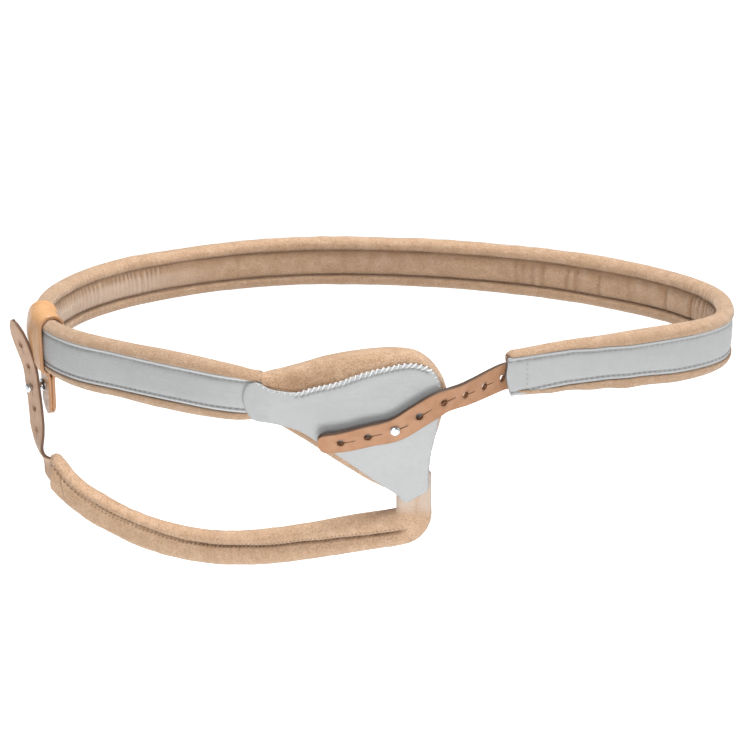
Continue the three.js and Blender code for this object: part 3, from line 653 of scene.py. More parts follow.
def makeBeltSleeve():
    look = sleeveLook
    length = beltLine.length
    fine = [(low, high, max(0.75, pitch / 5)) for low, high, pitch, _ in look["gathers"]]
    at = stationsAlong(length, look["step"], fine)
    sizes = beltSizes(at)
    pocketEnd = smooth((at * length - belt["rootLength"] - 1) / 4)
    pocket = (strapThickness + 2 * clearance) * (1 - pocketEnd)
    beds = sizes[1] - belt["inset"] - belt["facingThickness"] - clearance - pocket
    sections = np.stack([sleeveSection(h, t, f, b, look["around"])
                         for h, t, f, b in zip(*sizes, beds)])
    outward, high = sections[..., 0], sections[..., 1]
    far = (at * length)[:, None]
    bedLine, bedEdge = beds[:, None], sizes[2][:, None] + clearance

    skin = smooth((-outward - 1.0) / 2.5)
    channel = skin * (1 - smooth((np.abs(high) - look["channel"]) / 1.8))
    rolls = smooth((np.abs(high) - look["rolls"]) / 1.6) * smooth((3.4 - outward) / 2)
    seam = skin * ridge(np.abs(high) - belt["seamHigh"], 0.75)
    outward, folds, crestHighlights = foldSkin(at, far, outward, high, channel, rolls)
    bulk = patches(far, high * 1.5, 26, 21) * look["lumps"]
    waves = patches(far, high * 2 + outward, 7, 22) * look["rollWaves"]
    outward = outward + (bulk + waves) * smooth((1.2 - outward) / 2)
    high = high + (bulk + 0.6 * waves) * np.sign(high) * rolls
    outward, high = closeEnds(far, outward, high, bedLine, bedEdge)

    # the free end's lower half runs on further than its upper half
    forward = look["freeForward"] * (1 - smooth(far / 12)) * smooth((2 - high) / 6)
    forward = forward - belt["runOn"] * (1 - smooth(far / 22)) - endSlant(far, high)
    grid = onBelt(np.minimum(at[:, None] + forward / length, 1), outward, high)

    facingShadow = ridge(outward - bedLine, 0.9) * ridge(np.abs(high) - bedEdge, 0.5)
    # painted light and shade on the skin side: darker under the upper edge roll and above the lower
    # valley, and the inner left painted lighter
    litInnerLeft = smooth((at - 0.58) / 0.12)[:, None]
    shade = channel * smooth((high - 1.0) / 5.5) * mix(0.72, 0.36, litInnerLeft)
    shade = shade + 0.30 * channel * smooth((-4.4 - high) / 2)
    crestHighlights = crestHighlights + channel * litInnerLeft * 0.6 * smooth((4.5 - high) / 4)
    # the marks: dark stitched valleys with painted shadow by the facing, painted shade in the folds
    # and under the roll, and painted highlight on the crests
    marks = {"seam": np.clip(seam * 0.8 + facingShadow * 0.9, 0, 1).ravel(),
             "fold": np.clip(folds + shade, 0, 1).ravel(),
             "pale": np.clip(crestHighlights, 0, 0.85).ravel()}
    piece = gridPiece("beltSleeve", grid, velour, marks)
    place(piece, "velour", "belt_sleeve")


makeBeltSleeve()
print("belt padding made")


# White leather facing of the belt, with its stitches

facingLook = {
    "step": 0.8,  # between the mesh's rings, and points on a ring
    "around": 72,
    "stitchPitch": 3.1,
    "stitchLength": 1.9,
    "stitchSink": 0.42,
    "thread": 0.36,
    "endStitches": 5.6,  # from the free end to the row of stitches across it
    "endPitch": 2.6,
    "dents": [  # shallow dips: where, how wide, how deep
        (0.115, 5, 0.30), (0.135, 4, 0.22), (0.16, 6, 0.25), (0.71, 7, 0.3), (0.9, 7, 0.2),
    ],
}


def facingProfile(facingHalf, thick):
    # from the back's lower edge over the front to the back's upper edge
    face = thick - belt["inset"]
    back = face - belt["facingThickness"]
    stitched = facingHalf - belt["lip"]
    crown = belt["crown"]
    upper = np.array([
        (back, facingHalf - 0.1), (back + 0.35, facingHalf + 0.02), (face - 0.25, facingHalf),
        (face + 0.12, facingHalf - 0.3), (face + 0.22, facingHalf - 0.9),
        (face + 0.05, stitched + 0.45), (face - 0.5, stitched), (face - 0.05, stitched - 0.55),
        (face + crown * 0.5, stitched - 1.5), (face + crown * 0.9, stitched * 0.45)])
    lower = (upper * (1, -1))[::-1]
    return np.vstack([upper, [[face + crown, 0]], lower])


def makeBeltCover():
    look = facingLook
    length = beltLine.length
    at = stationsAlong(length, look["step"], [(0, 0.012, 0.5)])
    _, thick, halves = beltSizes(at)
    onBack = 10
    rings = []
    for half, t in zip(halves, thick):
        profile = facingProfile(half, t)
        around = resample(spline(profile, steps=10), look["around"] - onBack)
        back = np.linspace(profile[-1], profile[0], onBack + 2)[1:-1]
        rings.append(np.vstack([around, back]))
    sections = np.stack(rings)
    outward, high = sections[..., 0], sections[..., 1]
    far = (at * length)[:, None]
    facingHalf = halves[:, None]
    fromEdge = np.abs(high) - facingHalf

    frontSide = smooth((outward - (thick[:, None] - belt["inset"] - 0.9)) / 0.6)
    field = frontSide * (1 - smooth((fromEdge + 3.2) / 1.0))
    lips = frontSide * smooth((fromEdge + 2.6) / 0.8)
    folds = 0.20 * patches(far, high * 2.2, 16, 31) + 0.09 * patches(far, high, 6, 32)
    outward = outward + field * folds + lips * 0.07 * wobble(far, 3.1, 33)
    for where, width, depth in look["dents"]:
        lean = high * 0.5 * np.sin(where * 40)
        outward = outward - field * depth * ridge(far + lean - where * length, width)

    # the free end is cut to a blunt point, its lower corner further back
    slant = high / facingHalf
    cutBack = mix(belt["pointUp"], belt["pointDown"], slant < 0) * np.abs(slant - 0.15) ** 1.2
    cutBack -= belt["pointOut"]
    shift = cutBack * (1 - smooth(far / 9)) - endSlant(far, high)
    grid = onBelt(at[:, None] + shift / length, outward, high)

    # the seam mark: painted shade along the stitched groove with darker dashes at the holes, a
    # painted shade line at the facing's edge, and the stitch holes of the row across the free end
    seam = frontSide * ridge(fromEdge + belt["lip"], 0.5)
    dash = smooth(0.5 + 1.2 * np.sin(far * 2 * math.pi / look["stitchPitch"]))
    edgeShade = frontSide * ridge(fromEdge, 0.3) * 0.5
    endRow = frontSide * ridge(far + shift - look["endStitches"], 0.45)
    endRow = endRow * (0.5 + 0.5 * np.sin(high * 2 * math.pi / look["endPitch"]))
    endRow = endRow * (np.abs(high) < facingHalf * 0.7)
    # painted highlight on the lips, cut back at the facing's edge and weaker towards the free end
    lip = frontSide * smooth((fromEdge + 1.5) / 0.5) * (1 - edgeShade * 1.6)
    lip = lip * mix(0.35, 1.0, smooth((at - 0.5) / 0.3))[:, None]
    seam = seam * (0.35 + 0.65 * dash) + edgeShade + endRow * 0.6
    marks = {"seam": np.clip(seam, 0, 1).ravel(), "lip": np.clip(lip, 0, 1).ravel()}
    piece = gridPiece("beltCover", grid, whiteLeather, marks)
    place(piece, "white_leather", "belt_cover")


def threadLoop(start, end, rise, radius, normal):
    # one stitch: a bent thread from start to end that stands off the leather by its rise
    sides = 6
    t = np.linspace(0, 1, 7)[:, None]
    middle = mix(start, end, t) + normal * (np.sin(t * math.pi) ** 0.6) * rise
    forward = unit(np.gradient(middle, axis=0))
    side = unit(np.cross(forward, normal))
    high = unit(np.cross(side, forward))
    swell = radius * (0.55 + 0.45 * np.sin(t * math.pi) ** 0.5)
    angle = np.linspace(0, 2 * math.pi, sides, endpoint=False)
    rings = [middle + swell * (side * math.cos(a) + high * math.sin(a)) for a in angle]
    return np.stack(rings, 1)


def stitchPiece(name, loops, finish):
    # many stitches as one mesh
    points, faces = [], []
    for thread in loops:
        base = sum(len(p) for p in points)
        rings, sides = thread.shape[:2]
        points.append(thread.reshape(-1, 3))
        for i in range(rings - 1):
            for j in range(sides):
                k = (j + 1) % sides
                faces.append([base + i * sides + j, base + i * sides + k,
                              base + (i + 1) * sides + k, base + (i + 1) * sides + j])
        faces.append([base + j for j in range(sides)][::-1])
        faces.append([base + (rings - 1) * sides + j for j in range(sides)])
    return makePiece(name, np.vstack(points), faces, finish)


def makeBeltStitches():
    look = facingLook
    length = beltLine.length
    loops = []
    for side, begin in ((1, look["endStitches"]), (-1, look["endStitches"] + 1.5)):
        far = begin
        while far < length - 1:
            ends = np.array([far, far + look["stitchLength"]]) / length
            _, thick, facingHalf = beltSizes(ends)
            line = onBelt(ends, thick - belt["inset"] - look["stitchSink"],
                          side * (facingHalf - belt["lip"]))
            normal = beltFrames(ends)[2][0]
            loops.append(threadLoop(line[0], line[1], 0.3, look["thread"] / 2, normal))
            far += look["stitchPitch"]
    place(stitchPiece("beltStitches", loops, facingThread), "white_leather")


makeBeltCover()
makeBeltStitches()
print("belt facing made")

# The pad: shares of its length and height, from its left end and the belt's middle

pad = {
    "length": 97.0,
    "height": 72.0,
    "leather": 1.8,
    "crown": 2.6,
    "crownReach": 0.5,
    "depth": 25.0,
    "overhang": 1.6,  # the cushion's reach past its outline
    "overlap": 12.6,  # the tongue's reach over the belt's end
}
padMiddle = np.array((0.6, -0.12))
beltEndPoint, beltEndAlong, _ = beltFrames(1.0)
padLeft = beltEndPoint[0] - pad["overlap"]
padLeatherOutline = [
    (0, -0.03), (0.018, 0.07), (0.07, 0.108), (0.15, 0.065), (0.27, 0.045), (0.36, 0.08),
    (0.48, 0.12), (0.6, 0.18), (0.73, 0.225), (0.86, 0.25), (0.95, 0.21), (0.995, 0.12),
    (1, -0.03), (0.985, -0.22), (0.955, -0.42), (0.945, -0.58), (0.945, -0.66), (0.93, -0.697),
    (0.88, -0.738), (0.838, -0.773), (0.815, -0.768), (0.782, -0.718), (0.68, -0.625),
    (0.55, -0.49), (0.42, -0.36), (0.28, -0.235), (0.15, -0.185), (0.045, -0.16),
]
cushionOutline = [
    (0.06, 0.122), (0.13, 0.132), (0.20, 0.150), (0.3, 0.186), (0.42, 0.236), (0.58, 0.278),
    (0.76, 0.3), (0.89, 0.27), (0.975, 0.16), (1.02, 0), (0.985, -0.2), (0.945, -0.4),
    (0.925, -0.58), (0.88, -0.69), (0.78, -0.70), (0.65, -0.63), (0.5, -0.497), (0.34, -0.347),
    (0.2, -0.225), (0.09, -0.13), (0.035, 0.02),
]


def padBack(across):
    # the depth of the leather's back, which lies on the belt's end
    overBelt = np.maximum(0, pad["overlap"] - np.asarray(across, float) * pad["length"])
    at = 1 - overBelt / beltLine.length
    return onBelt(at, beltSizes(at)[1] + wideClearance, np.zeros_like(at))[..., 1]


def padFront(across, high):
    away = np.hypot(across - padMiddle[0], high - padMiddle[1]) / pad["crownReach"]
    return padBack(across) - pad["leather"] - pad["crown"] * (1 - smooth(away))


def padOutline(shares, count, overhang=0.0):
    # points round an outline in millimetres from the pad's corner, and the way out of it
    scale = np.array((pad["length"], pad["height"]))
    dense = spline(np.array(shares) * scale, closed=True, steps=20)[:-1]
    line = resample(dense, count, closed=True)
    middle = padMiddle * scale
    reach = line - middle
    size = np.linalg.norm(reach, axis=1, keepdims=True)
    line = middle + reach * (size + overhang) / size
    step = unit(np.roll(line, -1, 0) - np.roll(line, 1, 0))
    out = np.stack([-step[:, 1], step[:, 0]], -1)
    return line, out


def padPoints(across, high, depth):
    return np.stack([padLeft + across, depth, high], -1)


def awayFrom(line, points):
    # how far each point is from the nearest one of a line
    return np.array([np.linalg.norm(line - p, axis=1).min() for p in points])


def cutSheet(outline, rims, step):
    # a flat cut shape as triangles, with rows of points along its edge: its points, its faces and
    # how far each point is from the edge
    ahead = unit(np.roll(outline, -1, 0) - np.roll(outline, 1, 0))
    inward = np.stack([-ahead[:, 1], ahead[:, 0]], -1)
    low, high = outline.min(0), outline.max(0)
    across, upward = np.meshgrid(np.arange(low[0], high[0], step),
                                 np.arange(low[1], high[1], step * 0.87))
    across = across + (np.arange(len(upward))[:, None] % 2) * step / 2
    inside = np.stack([across.ravel(), upward.ravel()], -1)
    points = np.vstack([inside] + [outline + inward * rim for rim in rims])
    limit = np.concatenate([np.full(len(inside), rims[-1] + step * 0.6)]
                           + [np.full(len(outline), rim * 0.93) for rim in rims])
    points = np.vstack([outline, points[awayFrom(outline, points) >= limit]])
    count = len(outline)
    edges = [(i, (i + 1) % count) for i in range(count)]
    made = delaunay_2d_cdt([Vector(p) for p in points], edges, [], 1, 1e-6)
    points = np.array([tuple(p) for p in made[0]])
    away = awayFrom(outline, points)
    away[:count] = 0
    return points, [list(face) for face in made[2]], away


padCoverLook = {"step": 1.15, "rims": [0.22, 0.5, 0.9, 1.5, 2.2, 2.9, 3.7, 4.6], "swell": 0.10}
whipLook = {
    "pitch": 2.7,
    "inset": 1.75,  # from the leather's edge to the holes
    "rope": 0.38,  # the thread's radius in the thick loops, and in the short ticks
    "tick": 0.15,
    "lean": 2.4,
}


def ropeShare(line, out):
    # 1 where the thread goes over the edge in thick slanted loops, 0 where it is only short ticks
    across = line[..., 0] / pad["length"]
    return (smooth((out[..., 1] - 0.15) / 0.3) * smooth((across - 0.24) / 0.05)
            * smooth((0.975 - across) / 0.04))


def makePadCover():
    look = padCoverLook
    line, out = padOutline(padLeatherOutline, 900)
    # each loop of thread pulls the edge in
    pull = (0.5 + 0.5 * np.cos((farAlong(line) / whipLook["pitch"] - 0.5) * 2 * math.pi)) ** 2
    pull *= 0.06 + 0.94 * ropeShare(line, out)
    line = line - out * (0.34 * pull)[:, None]
    points, faces, away = cutSheet(line[::-1], look["rims"], look["step"])
    x, z = points[:, 0], points[:, 1]
    across = x / pad["length"]
    nearest = np.array([np.linalg.norm(line - p, axis=1).argmin() for p in points])
    pulled = ridge(away - whipLook["inset"], 0.75) * pull[nearest]

    inTongue = smooth((0.36 - across) / 0.2)
    folds = 0.30 * patches(x + 0.3 * z, z * 1.4, 14, 41) + 0.07 * patches(x, z, 4, 42)
    folds = folds + inTongue * 0.30 * patches(x + 0.9 * z, (z - 0.9 * x) * 0.35, 5, 43)
    folds = folds * smooth((away - 2) / 6)
    swell = ridge(away - 4.8, 2.0) * look["swell"]
    rounding = pad["leather"] * 0.5 * (1 - roundOff(away))
    face = padFront(across, z / pad["height"]) - folds - swell + 0.28 * pulled + rounding
    back = padBack(across) - 0.03 - rounding * 0.6
    back[away == 0] = face[away == 0]

    # the face and the back share the points of the edge
    inner = np.flatnonzero(away > 0)
    number = np.arange(len(points))
    number[inner] = len(points) + np.arange(len(inner))
    faces = faces + [[int(number[i]) for i in corners[::-1]] for corners in faces]
    points = np.vstack([padPoints(x, z, face), padPoints(x, z, back)[inner]])
    # painted shade round each loop of thread where it pulls the leather in, and a darker cut edge
    seam = np.clip(pulled * 1.1 + 0.25 * ridge(away, 0.5), 0, 1)
    marks = {"seam": np.concatenate([seam, np.zeros(len(inner))])}
    piece = makePiece("padCover", points, faces, whiteLeather, marks=marks)
    fixNormals(piece)
    place(piece, "white_leather", "pad_cover")


def makeWhipStitches():
    # thread round and round over the leather's edge, but not at the tongue and the lower left
    look = whipLook
    line, out = padOutline(padLeatherOutline, 1400)
    far = farAlong(line)
    rope = ropeShare(line, out)
    random = np.random.RandomState(5)
    angle = np.linspace(0, 2 * math.pi, 8, endpoint=False)
    body = np.array([0.5, 0.85, 1, 1.05, 1.05, 1, 1, 1, 0.9, 0.6])[:, None]
    loops = []
    spot = look["pitch"] * 0.5
    while spot < far[-1]:
        i = int(np.searchsorted(far, spot)) % len(line)
        spot += look["pitch"]
        step = unit(line[(i + 2) % len(line)] - line[i - 2])
        here, outside, thick = line[i], out[i], rope[i]
        across = here[0] / pad["length"]
        lowerLeft = outside[1] < -0.3 and not 0.70 < across < 0.82
        if across < 0.06 or lowerLeft:
            continue
        # the loops on the upper edge lean to the right, whichever way the outline runs
        lean = mix(0.5, look["lean"], thick) * np.sign(step[0] + 1e-6)
        lean = lean + random.uniform(-0.45, 0.45)
        reach = look["inset"] * mix(0.75, 1.0, thick) * random.uniform(0.8, 1.15)
        radius = mix(look["tick"], look["rope"], thick)
        hole = here - outside * reach - step * lean * 0.35
        over = here + outside * mix(-0.25, 0.12, thick) + step * lean * 0.5
        behind = here - outside * 0.9 + step * lean * 0.75
        low, high, fold = mix(hole, over, 0.25), mix(hole, over, 0.75), mix(over, behind, 0.5)
        shares = np.array([hole, over]) / (pad["length"], pad["height"])
        atHole, atEdge = padFront(shares[:, 0], shares[:, 1])
        depths = [atHole + 0.5, atHole - radius * 0.9, atEdge - radius * 0.8,
                  atEdge + pad["leather"] * 0.5, atEdge + pad["leather"] + 0.1]
        path = [(padLeft + x, depth, z)
                for (x, z), depth in zip((hole, low, high, over, fold), depths)]
        dense = resample(spline(path, steps=6), 10)
        forward = unit(np.gradient(dense, axis=0))
        side = unit(np.cross(forward, front))
        lift = unit(np.cross(side, forward))
        loops.append(np.stack([
            dense + radius * body * (side * math.cos(a) + lift * math.sin(a)) for a in angle], 1))
    place(stitchPiece("padStitches", loops, whiteThread), "white_leather")


cushionBack = [(0.3, 1.0), (0.42, 0.99), (0.56, 0.955), (0.70, 0.88), (0.82, 0.76), (0.91, 0.60),
               (1.0, 0.40)]  # how deep and how wide, from the widest place to the skin side
cushionLook = {
    "around": 320,
    "flat": 0.012,  # how deep it is under the leather, and at its widest, as shares of the depth
    "widest": 0.3,
    "underEdge": 1.2,  # the leather's edge stands this far past the flat
    "backSlope": 0.75,
}
neck = {"across": 0.87, "width": 17.5, "thickness": 9.5, "high": 21.0}
neckFootHigh = -0.72 - neck["high"] / pad["height"] / 2 + 0.01


def cushionSections(edge):
    # one line for each way out of the middle: flat under the leather, domed beyond its edge
    flatDeep, widest = cushionLook["flat"], cushionLook["widest"]
    turn = np.linspace(0, 1, 34) * math.pi / 2
    flat = np.linspace(0.04, 1, 22)[:-1] ** 0.8
    depths, widths = np.array(cushionBack).T
    back = resample(spline(np.stack([widths, depths], -1), steps=10), 44)[1:]
    close = np.linspace(1, 0.06, 18)[1:]
    deep = np.concatenate([np.full_like(flat, flatDeep),
                           flatDeep + (widest - flatDeep) * (1 - np.cos(turn)),
                           back[:, 1], 1 + flatDeep * (1 - close)])
    shares = [np.concatenate([start * flat, start + (1 - start) * np.sin(turn), back[:, 0],
                              back[-1, 0] * close]) for start in edge]
    return np.stack(shares, 1), np.stack([deep] * len(edge), 1)


def underLeather(reach, middle):
    # the share of each way out of the middle that the leather covers
    leather = padOutline(padLeatherOutline, 1600)[0] - middle
    way = np.arctan2(leather[:, 1], leather[:, 0])
    order = np.argsort(way)
    leatherReach = np.interp(np.arctan2(reach[:, 1], reach[:, 0]), way[order],
                             np.linalg.norm(leather, axis=1)[order])
    covered = leatherReach - cushionLook["underEdge"]
    edge = np.clip(covered / np.linalg.norm(reach, axis=1), 0.4, 0.945)
    for _ in range(6):
        edge = (np.roll(edge, 1) + edge + np.roll(edge, -1)) / 3
    return edge


def stopAtBelt(grid):
    # the padding stops at the belt's end, and behind the belt it swells out of it in a slope
    fromEnd = (grid - beltEndPoint) @ beltEndAlong + 0.4
    fromEnd = fromEnd + belt["endSlant"] * np.maximum(grid[..., 2] - beltEndPoint[2] - 2, 0)
    behindBelt = np.maximum(grid[..., 1] - padBack(1.0) - belt["thickness"] + 1, 0)
    fromEnd = fromEnd - cushionLook["backSlope"] * behindBelt
    slope = 0.25 + 0.28 * np.minimum(behindBelt, 12)
    clear = slope * np.logaddexp(0, fromEnd / slope)
    return grid + beltEndAlong * (clear - fromEnd)[..., None]


def makeNeckRoom(grid):
    # a hollow for the thigh strap's neck
    neckX = padLeft + neck["across"] * pad["length"]
    neckTop = neckFootHigh * pad["height"] + neck["high"]
    inside = (smooth((neck["width"] / 2 + 1.3 - np.abs(grid[..., 0] - neckX)) / 0.9)
              * smooth((neckTop + 1.1 - grid[..., 2]) / 0.9))
    neckBack = padBack(neck["across"]) + clearance + neck["thickness"] + wideClearance
    grid[..., 1] = mix(grid[..., 1], np.maximum(grid[..., 1], neckBack), inside)
    return grid


def makePadCushion():
    count = cushionLook["around"]
    line, _ = padOutline(cushionOutline, count, pad["overhang"])
    middle = padMiddle * (pad["length"], pad["height"])
    reach = line - middle
    edge = underLeather(reach, middle)
    share, deep = cushionSections(edge)
    flat = middle + reach[None] * share[..., None]
    across, upward = flat[..., 0] / pad["length"], flat[..., 1] / pad["height"]
    frontY = padFront(across, upward) + pad["leather"] + clearance
    backY = padBack(1.0) + pad["depth"]
    x, z = flat[..., 0], flat[..., 1]
    y = mix(frontY, backY, deep)

    soft = smooth((deep - 0.02) / 0.1)
    y += (0.5 * patches(x, z + y, 19, 51) + 0.2 * patches(x + y, z, 7, 52)) * soft
    way = np.arange(count)[None] * 0.35
    grow = 1 + (0.010 * patches(way, y, 13, 53) + 0.004 * patches(way, y, 4, 54)) * soft
    x, z = middle[0] + (x - middle[0]) * grow, middle[1] + (z - middle[1]) * grow
    grid = makeNeckRoom(stopAtBelt(padPoints(x, z, y)))

    # painted shade on the cushion next to the leather's edge, stronger on the left, and a painted
    # shade line in the crease along that edge
    beyond = smooth((share - edge[None] + 0.02) / 0.03)
    shadeByLeather = beyond * (1 - smooth((deep - 0.03) / 0.16)) * (deep < cushionLook["widest"])
    leftMore = smooth((0.62 - across) / 0.4)
    creaseShade = beyond * ridge(share - edge[None], 0.02) * (deep < 0.05)
    marks = {"seam": (creaseShade * 0.7).ravel(),
             "pile": (shadeByLeather * mix(0.35, 1.0, leftMore)).ravel(),
             "fold": (shadeByLeather * 0.8 * leftMore).ravel()}
    piece = gridPiece("padCushion", grid, cushionVelour, marks)
    place(piece, "velour", "pad_cushion")


makePadCover()
makeWhipStitches()
makePadCushion()
print("pad made")


# Bands: straps and the padded thigh strap run along a line with a face turned to a direction

def turned(line, faces, at):
    # the line's point, its direction, and the ways out of the band's face and across it
    at = np.asarray(at, float)
    along = line.along(at)
    face = np.stack([column(faces, axis, at) for axis in "xyz"], -1)
    face = unit(face - along * (face * along).sum(-1, keepdims=True))
    side = unit(np.cross(face, along))
    return line.point(at), along, face, side


def faceAt(at, direction):
    return {"at": at, "x": direction[0], "y": direction[1], "z": direction[2]}


def strapSection(width, thickness, count, soft):
    w, t = width / 2, thickness / 2
    corners = []
    for cx, cy, begin in ((1, 1, 0), (-1, 1, 90), (-1, -1, 180), (1, -1, 270)):
        for degrees in (0, 30, 60, 90):
            a = math.radians(begin + degrees)
            corners.append((cx * (t - soft) + soft * math.cos(a),
                            cy * (w - soft) + soft * math.sin(a)))
    return resample(np.array(corners), count, closed=True)


def keyholeCutter(point, along, face, side, look):
    # a closed prism: a round hole with a slit towards the strap's fixed end
    half = math.asin(look["slit"] / 2 / look["hole"])
    angles = np.linspace(half, 2 * math.pi - half, 30)
    shape = [(look["hole"] * math.cos(a), look["hole"] * math.sin(a)) for a in angles]
    tip = look["hole"] + look["slitLength"]
    shape += [(tip, -look["slit"] * 0.3), (tip, look["slit"] * 0.3)]
    return np.array([[point + along * x + side * y + face * depth for x, y in shape]
                     for depth in (-3.0, 3.0)])


def cutHoles(piece, rings, finish):
    # takes prisms out of a piece, and gives the cut walls their own finish
    points, faces = [], []
    for ends in rings:
        base = sum(len(p) for p in points)
        n = ends.shape[1]
        points.append(ends.reshape(-1, 3))
        faces += [[base + j, base + (j + 1) % n, base + n + (j + 1) % n, base + n + j]
                  for j in range(n)]
        faces += [[base + j for j in range(n)][::-1], [base + n + j for j in range(n)]]
    cutter = makePiece(piece.name + "Cutter", np.vstack(points), faces, finish)
    cutter.data.shade_flat()
    for made in (piece, cutter):
        fixNormals(made)
    carve = piece.modifiers.new("holes", "BOOLEAN")
    carve.operation = "DIFFERENCE"
    carve.solver = "EXACT"
    carve.material_mode = "TRANSFER"
    carve.object = cutter
    bpy.context.view_layer.update()
    shaped = piece.evaluated_get(bpy.context.evaluated_depsgraph_get())
    mesh = bpy.data.meshes.new_from_object(shaped)
    piece.modifiers.clear()
    piece.data = mesh
    bpy.data.objects.remove(cutter)


def holedStrap(name, line, faces, look, finish, cutFinish, holes, widthAt):
    # a strap with a rounded tip at the line's start and keyholes at shares of its length
    length, tip = line.length, look["tip"]
    nearTip = np.array([0, 0.012, 0.05, 0.12, 0.22, 0.36, 0.55, 0.78]) * tip / length
    at = np.concatenate([nearTip, np.linspace(tip / length, 1, int(length))])
    point, _, face, side = turned(line, faces, at)
    left = 1 - np.clip(at * length / tip, 0, 1)
    widths = widthAt(at) * np.maximum(0.2, (1 - left ** look["blunt"]) ** (1 / look["blunt"]))
    sections = np.stack([strapSection(width, look["thickness"], 44, 0.3) for width in widths])
    out, high = sections[..., 0], sections[..., 1]
    far, rim = (at * length)[:, None], widths[:, None] / 2
    waves = 0.10 * patches(far, high, 9, look["seed"]) + 0.10 * wobble(far, 21, look["seed"])
    grid = (point[:, None] + face[:, None] * (out + waves)[..., None]
            + side[:, None] * high[..., None])

    # the back is raw, the upper cut side is painted dark as shade, and the rim and the edges of the
    # holes are darker
    raw = np.maximum(smooth((high - rim + 0.5) / 0.3) * (out < 0.85), smooth((0.3 - out) / 0.5))
    edge = ridge(np.abs(high) - rim, 0.4) * 0.7
    for hole in holes:
        past = far - hole * length
        edge = np.maximum(edge, ridge(np.hypot(past, high) - look["hole"], 0.5))
        inSlit = (past > 0) & (past < look["hole"] + look["slitLength"] + 0.3)
        edge = np.maximum(edge, inSlit * ridge(high, 0.45) * 0.8)
    piece = gridPiece(name, grid, finish, {"edge": edge.ravel(), "raw": raw.ravel()})
    piece.data.materials.append(cutFinish)
    cutHoles(piece, [keyholeCutter(*turned(line, faces, hole), look) for hole in holes], cutFinish)
    piece.data.set_sharp_from_angle(angle=math.radians(38))
    return piece


# Front strap

frontLook = {
    "width": 14.0, "tipWidth": 12.8, "thickness": 2.5, "rootLength": 12.0,
    "pitch": 13.7, "hole": 1.95, "slit": 0.55, "slitLength": 5.0,
    "tip": 4.6, "blunt": 2.7,  # the rounded tip's length, and how square it is
    "reach": 3.0,  # from the pad's leather to the strap's middle
    "play": 0.6,  # between the strap and the stud's head
    "seed": 61,
}
studLook = {"head": 2.5, "headHeight": 1.6, "neck": 1.4, "flange": 3.4, "flangeThick": 1.0}
frontStudPlace = (0.77, -0.195)
frontStudBase = padPoints(frontStudPlace[0] * pad["length"], frontStudPlace[1] * pad["height"],
                          float(padFront(frontStudPlace[0] - studLook["flange"] / pad["length"],
                                         frontStudPlace[1])))
frontCrossing = frontStudBase + front * frontLook["reach"]
padEdgeCrossing = padPoints(pad["length"], -0.015 * pad["height"],
                            float(padFront(1.0, 0.0)) - strapThickness / 2 - 0.9)


def inPocket(distance):
    # the strap's middle in the pocket behind the facing, this far from the free end
    at = distance / beltLine.length
    facingBack = beltSizes(at)[1] - belt["inset"] - belt["facingThickness"]
    return onBelt(at, facingBack - 1.5 * clearance - strapThickness / 2, 0.0)


rootMouth = inPocket(-belt["pointOut"] + 0.6)
# in steps from hole to hole, from the stud's hole
frontTipPath = [(-2.75, 0.03, -0.58), (-1.82, -0.02, -0.44), (-0.93, -0.04, -0.21), (0, 0, 0),
                (0.86, 0.05, 0.52)]
frontLine = Line(
    [np.array(p) * frontLook["pitch"] + frontCrossing for p in frontTipPath]
    + [padEdgeCrossing, mix(padEdgeCrossing, rootMouth, 0.4) + front * 1.6,
       mix(padEdgeCrossing, rootMouth, 0.8) + front * 0.3, rootMouth, inPocket(-2), inPocket(1.5),
       inPocket(frontLook["rootLength"] / 2), inPocket(frontLook["rootLength"])])
frontStudAt = frontLine.nearest(frontCrossing)
frontMouthAt = frontLine.nearest(rootMouth)
frontFaces = [
    faceAt(0, (0, -0.90, -0.43)),
    faceAt(frontStudAt * 0.6, (0, -0.94, -0.33)),
    faceAt(frontStudAt, (0, -0.97, -0.25)),
    faceAt(frontStudAt * 1.5, (0, -0.96, -0.27)),
    faceAt(frontMouthAt, beltFrames(0.0)[2]),
    faceAt(1, beltFrames(frontLook["rootLength"] / beltLine.length)[2]),
]


def makeFrontStrap():
    step = frontLook["pitch"] / frontLine.length
    holes = [frontStudAt + i * step for i in range(-2, 6)]

    def widthAt(at):
        return mix(frontLook["tipWidth"], frontLook["width"], smooth(at / frontMouthAt))

    strap = holedStrap("frontStrap", frontLine, frontFaces, frontLook, tanLeather, tanCut, holes,
                       widthAt)
    place(strap, "tan_leather", "front_strap")


def makeStud(name, base, axis, reach, play, node):
    # turned: the flange on the leather, the neck through the strap's hole, and the domed head
    head, neckRadius, flange = studLook["head"], studLook["neck"], studLook["flange"]
    height = studLook["headHeight"]
    bottom = reach + strapThickness / 2 + play
    low = [(0.02, 0), (flange - 0.1, 0), (flange, 0.2), (flange - 0.15, 0.55),
           (flange * 0.75, 0.85), (neckRadius + 0.25, studLook["flangeThick"]), (neckRadius, 1.4)]
    profile = [(radius, clearance + high) for radius, high in low]
    profile += [(neckRadius, bottom - 0.2), (neckRadius + 0.2, bottom),
                (head * 0.85, bottom + 0.05), (head * 0.985, bottom + 0.35)]
    dome = [(1, 0.35), (0.93, 0.62), (0.74, 0.83), (0.45, 0.96)]
    profile += [(head * wideShare, bottom + height * highShare) for wideShare, highShare in dome]
    profile.append((0.02, bottom + height))
    count = 56
    side = unit(np.cross(axis, up))
    high = np.cross(side, axis)
    angle = np.linspace(0, 2 * math.pi, count, endpoint=False)
    around = side * np.cos(angle)[:, None] + high * np.sin(angle)[:, None]
    rings = [base + axis * away + radius * around
             for radius, away in resample(spline(profile, steps=6), count)]
    piece = gridPiece(name, np.stack(rings), chrome)
    fixNormals(piece)
    place(piece, "stud_chrome", node)


makeFrontStrap()
makeStud("frontStud", frontStudBase, front, frontLook["reach"], frontLook["play"], "front_stud")
print("front strap and its stud made")

# Leather loop on the belt with its hanging tongue

